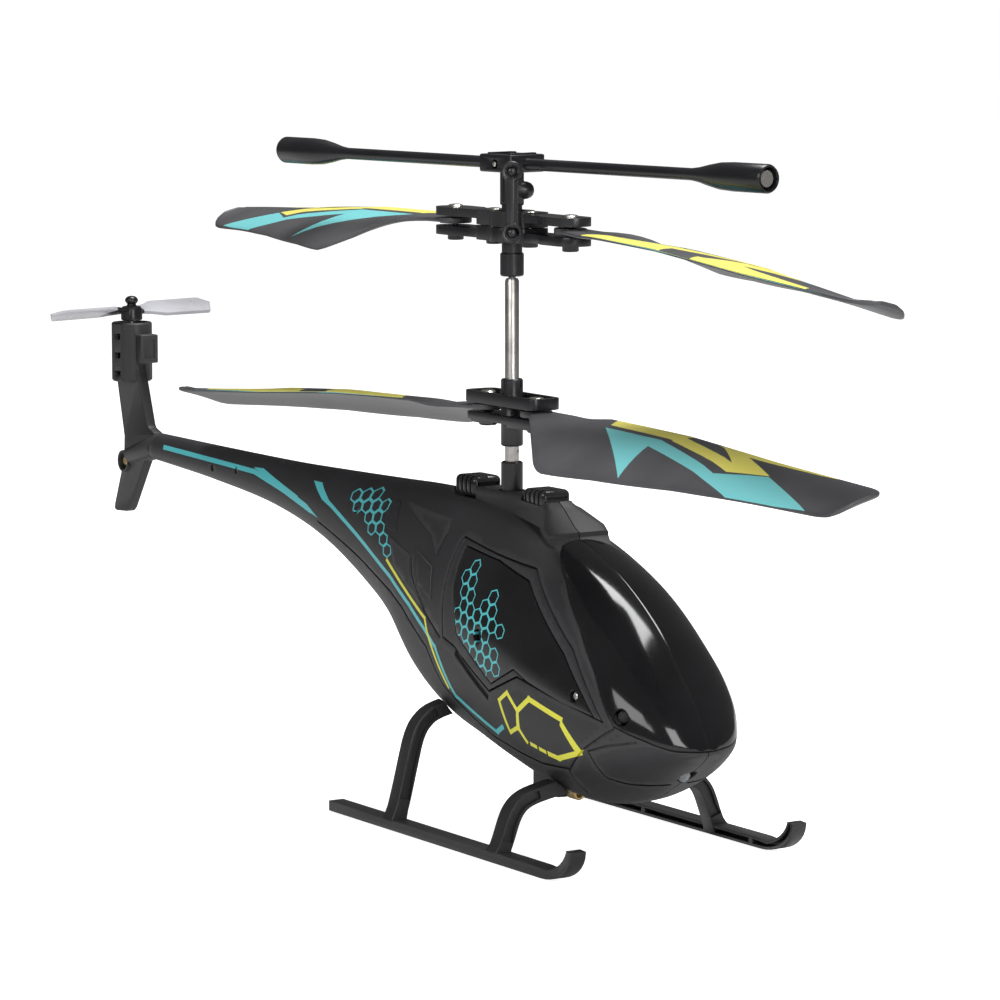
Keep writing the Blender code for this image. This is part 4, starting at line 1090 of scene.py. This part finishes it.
def leg(name, line, thickness, x0, x1):
    """A band along a (y, z) line, thicker at its foot, between two places along the body."""
    points = softened(line)
    outer, inner = [], []
    for k, point in enumerate(points):
        way = (points[min(k + 1, len(points) - 1)] - points[max(k - 1, 0)]).normalized()
        normal = Vector((-way.y, way.x)) * (thickness + 0.7 * max(1 - k / 4, 0)) / 2
        outer.append(point + normal)
        inner.append(point - normal)
    ring = outer + inner[::-1]
    return loft(name, [[(x, p.x, p.y) for p in ring] for x in (x0, x1)])


TOE_REACH, TOE_BEND, TOE_STEPS = 7.0, 1.35, 8
start = RAIL_FRONT - TOE_REACH
bends = [n * TOE_BEND / TOE_STEPS for n in range(1, TOE_STEPS + 1)]
curve = [(start + TOE_REACH * math.sin(a), TOE * (1 - math.cos(a))) for a in bends]
rail = [(RAIL_REAR, 0.0), (start, 0.0), *curve, (RAIL_FRONT, TOE), (RAIL_FRONT - 1.4, TOE + 0.1)]
rail += [(x - 1.0, z + 1.0) for x, z in reversed(curve[1:])] + [(start - 0.8, 1.4), (RAIL_REAR, 1.4)]
skid = rounded(slab("left_rail", rail, 16.1, 18.4), 0.22, 40, 3)
pocket = slab("pocket", moved(rail, 0.38), 15, 17.3)
for x in (RAIL_REAR + 6, 8, 33):
    cut(pocket, rod("boss", 0.45, (x, 14, 0.7), (x, 18, 0.7), 24))
cut(skid, pocket)
for x, line in LEGS:
    bow = rounded(leg("bow", line, 2.0, x - 1.2, x + 1.2), 0.2, 50, 3)
    for x0, x1 in ((x - 2, x - 0.75), (x + 0.75, x + 2)):
        cut(bow, leg("bow_pocket", line[1:-1], 1.1, x0, x1))
    join(skid, bow)
cut(skid, hull("belly", GAP, -GAP))
skid_finish = moulded("satin_black_skid", (0.016, 0.016, 0.017), 0.42, 0.3, 0.004, 0.05)
other = twin(skid, "right_rail")
for piece, node in ((skid, "left_skid"), (other, "right_skid")):
    finished(piece, skid_finish, "fuselage", node)

# ---------------------------------------------------------------- tail fin and motor case
# One black moulding plugs onto the boom with a brass screw: a leaning fin, a lower fin,
# and a round case whose slots show the tail motor, with its lead clip on the front.
TAIL_X = -108.7
BOSS_X, BOSS_Z = -109.7, 38.1
FIN = (
    (-114.0, 59.2), (-112.8, 52.5), (-110.1, 42.0), (-110.3, 38.5), (-113.5, 31.0), (-113.6, 30.2),
    (-112.9, 30.0), (-109.7, 30.2), (-108.9, 30.8), (-103.6, 38.6), (-103.2, 39.0), (-100.4, 39.2),
    (-100.4, 43.3), (-102.2, 43.9),
    (-102.6, 44.4), (-105.4, 52.5), (-107.0, 57.6), (-108.6, 59.2),
)
fin = rounded(slab("tail_fin_body", FIN, -0.8, 0.8), 0.2, 30, 3)
join(fin, rod("boom_plug", 1.9, (-100.5, 0, 41.2), (-109.5, 0, 38.7), 48, 1.5))
join(fin, rod("boss", 1.7, (BOSS_X, -1.3, BOSS_Z), (BOSS_X, 1.3, BOSS_Z)))
join(fin, turned("motor_case", ((2.9, 50.7), (3.12, 50.95), (3.12, 59.6), (2.95, 59.8)),
                 Matrix.Translation((TAIL_X, 0, 0))))
clip = block("clip", (2.6, 3.0, 4.4), (TAIL_X + 3.4, 0.6, 55.9), 0, 0.2)
cut(clip, block("clip_window", (0.6, 1.8, 2.9), (TAIL_X + 4.7, 0.6, 55.9)))
join(fin, clip)
cut(fin, upright("motor_bore", 2.4, 51.7, 60.8, TAIL_X))
for z in (57.7, 54.8, 51.95):
    for turn in (-75, 105):
        a = math.radians(turn)
        spot = Vector((TAIL_X + 2.9 * math.cos(a), 2.9 * math.sin(a), z))
        cut(fin, block("case_slot", (1.2, 1.3, 0.95), spot, a))
cut(fin, rod("screw_recess", 1.35, (BOSS_X, -0.4, BOSS_Z), (BOSS_X, -3, BOSS_Z)))
fin_finish = moulded("matte_black_fin", (0.012, 0.012, 0.013), 0.5, 0.3, 0.005, 0.05)
finished(rounded(fin, 0.07, 50), fin_finish, "fuselage", "tail_fin")
brass = drawn_metal("turned_brass", (0.66, 0.49, 0.24), 0.28, (1, 1, 1))
fin_screw = turned("fin_screw", ((0.8, 0), (0.8, 0.25), (0.55, 0.45)),
                   Matrix.Translation((BOSS_X, -0.45, BOSS_Z)) @ facing((0, -1, 0)), 32)
for size in ((1.1, 0.4, 0.25), (0.25, 0.4, 1.1)):
    cut(fin_screw, block("recess", size, (BOSS_X, -0.95, BOSS_Z)))
finished(fin_screw, brass, "fuselage")
CAN = (
    (1.85, 52.0), (2.1, 52.2), (2.1, 59.1), (1.9, 59.3), (0.7, 59.3), (0.7, 59.6), (0.3, 59.65), (0.3, 62.15),
    (0.22, 62.2),
)
can = turned("tail_motor_can", CAN, Matrix.Translation((TAIL_X, 0, 0)))
finished(can, mast_steel, "fuselage", "tail_motor")

# ---------------------------------------------------------------- tail rotor
# A black hub with a ball cap is pressed on the motor's spindle. Its two flat blades are
# light grey and pitched so that the rotor lifts the tail; painted shade blackens their roots, further out on
# one blade.
TAIL_TURN = math.radians(-78)
VANE_PITCH = math.radians(18)
VANE_Z, VANE_HALF = 61.6, 0.3
CAP = (
    (1.5, 60.1), (1.65, 60.25), (1.65, 61.8), (1.4, 62.2), (0.75, 62.35), (0.65, 62.6), (0.85, 62.75),
    (1.0, 63.0), (1.02, 63.2), (0.9, 63.5), (0.6, 63.75), (0.2, 63.85),
)
VANE = (
    (0.6, -0.8), (3.2, -1.6), (5.0, -2.5), (13.6, -2.7), (14.0, -2.55), (16.3, 0.35), (16.4, 0.7),
    (16.1, 1.0), (15.3, 2.5), (14.8, 2.6), (5.2, 2.6), (3.4, 1.6), (0.6, 0.8),
)
rotor = turned("tail_propeller", CAP, Matrix.Translation((TAIL_X, 0, 0)))
for half in (0, math.pi):
    vane = rounded(deck("vane", VANE, -VANE_HALF, VANE_HALF), 0.15, 50)
    turned_out = Matrix.Rotation(TAIL_TURN + half, 4, "Z") @ Matrix.Rotation(VANE_PITCH, 4, "X")
    vane.data.transform(Matrix.Translation((TAIL_X, 0, VANE_Z)) @ turned_out)
    join(rotor, vane)
cut(rotor, upright("spindle_hole", 0.6, 60, 62.5, TAIL_X))
propeller = moulded("pale_grey_vanes", (0.46, 0.46, 0.49), 0.28, 0.6, 0.002, 0.05)
dx, dy = propeller.x - TAIL_X, propeller.y
reach = propeller.node("Math", {"operation": "SQRT"}, {0: dx * dx + dy * dy})
along_vane = dx * 0.208 - dy * 0.978
# painted shade: the blade roots are coloured black, reaching further out on one blade than on the other
painted_root_shade = 1 - (reach - along_vane * 0.486).rise(2.75, 2.9)
propeller.feed("Base Color", propeller.mix(painted_root_shade, propeller.colour, (0.012, 0.012, 0.013, 1)))
finished(rotor, propeller, "tail_rotor", "tail_rotor")

# ---------------------------------------------------------------- switch, contact and lamp
# Under the belly a small housing holds the sliding power switch, with a brass charging
# contact ahead of it; a clear lamp lens sits in the chin.
SWITCH_X, SWITCH_Z, SLIDER_X = 12.5, 5.6, 11.6
housing = block("switch_box", (7.2, 5, 6), (SWITCH_X, 0, SWITCH_Z + 3), 0, 0.3)
cut(housing, hull("belly", GAP, -GAP), block("slider_slot", (4.0, 2.0, 3), (SWITCH_X, 0, SWITCH_Z)))
for x in (9.6, 15.4):
    cut(housing, block("mark_groove", (0.3, 3.4, 0.5), (x, 0, SWITCH_Z)))
finished(rounded(housing, 0.08, 50), skid_finish, "fuselage", "switch_housing")
slider = block("switch_slider", (1.6, 1.4, 1.6), (SLIDER_X, 0, SWITCH_Z), 0, 0.15)
for n in (-1, 0, 1):
    cut(slider, block("grip_line", (0.16, 2, 0.3), (SLIDER_X + n * 0.42, 0, 4.85)))
finished(slider, rotor_black, "power_switch", "power_switch")
contact = rod("charging_contact", 0.9, (16.4, -1.2, 6.4), (18.4, -1.2, 6.4))
cut(contact, hull("belly", GAP, -GAP), rod("contact_bore", 0.5, (17.6, -1.2, 6.4), (19, -1.2, 6.4), 24))
finished(rounded(contact, 0.08, 50), brass, "fuselage", "charge_contact")
LENS = ((0.85, -0.9), (0.98, -0.7), (0.98, 0.0), (0.95, 0.3), (0.8, 0.62), (0.5, 0.86), (0.15, 0.97))
lens = turned("chin_lens", LENS, Matrix.Translation((40.4, 0, 12.4)) @ facing((0.95, 0, -0.32)))
lens_finish = Finish("clear_lens", 0.06)
swirl = lens_finish.specks(1.2, 2.0)
clear = lens_finish.mix(swirl.rise(0.3, 0.7), (0.62, 0.66, 0.68, 1), (0.80, 0.83, 0.84, 1))
lens_finish.feed("Base Color", clear)
lens_finish.feed("Roughness", 0.05 + swirl * 0.1)
lens_finish.feed("Transmission Weight", 0.7)
lens_finish.feed("IOR", 1.49)
lens_finish.raised(swirl, 0.01)
finished(lens, lens_finish, "fuselage", "lamp_lens")

# ---------------------------------------------------------------- sunk screws
# Small plated cross-head screws join the halves along the boom, and one holds each window
# in its front corner; a black one sits deep in the hole in the window's middle.
def sunk_screw(name, x, y, z, radius, finish):
    """A cross-head screw whose head faces straight out from the body's side."""
    head = ((radius * 0.9, -0.3), (radius, -0.2), (radius, 0.1), (radius * 0.7, 0.25))
    piece = turned(name, head, Matrix.Translation((x, y, z)) @ facing((0, y, 0)), 24)
    for size in ((radius, 0.3, radius * 0.25), (radius * 0.25, 0.3, radius)):
        cut(piece, block("recess", size, (x, y + math.copysign(0.25, y), z)))
    finished(piece, finish, "fuselage")


for side, word in ((-1, "right"), (1, "left")):
    for number, (x, y, z) in enumerate(WELLS, 1):
        sunk_screw(f"{word}_boom_screw_{number}", x, side * (y - 0.55), z, 0.45, screw_steel)
    sunk_screw(f"{word}_corner_screw", 31.5, side * 10.4, 22.2, 0.62, screw_steel)
    sunk_screw(f"{word}_window_screw", 11.0, side * 11.0, 27.5, 0.8, rotor_black)

# ---------------------------------------------------------------- drive and electrics
# Inside the body, out of sight: two motors in steel cans with brass pinions, two white
# nylon gears, a black frame with its bearing, a foil-wrapped cell and a green board.
nylon = moulded("white_nylon", (0.62, 0.60, 0.54), 0.38, 0.3, 0.004, 0.04)
foil = moulded("silver_foil_wrap", (0.48, 0.48, 0.50), 0.32, 1.6, 0.03, 0.05)
board = moulded("green_board", (0.02, 0.14, 0.05), 0.35, 0.5, 0.006, 0.04)
INSIDE = (
    (mast_steel, ("front_motor", "rear_motor", "shaft_bearing")),
    (brass, ("front_pinion", "rear_pinion")),
    (nylon, ("outer_gear", "inner_gear")),
    (skid_finish, ("chassis_frame",)),
    (foil, ("battery",)),
    (board, ("circuit_board",)),
)
for finish, nodes in INSIDE:
    for node in nodes:
        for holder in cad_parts[node].material_slots:
            holder.material = finish.material
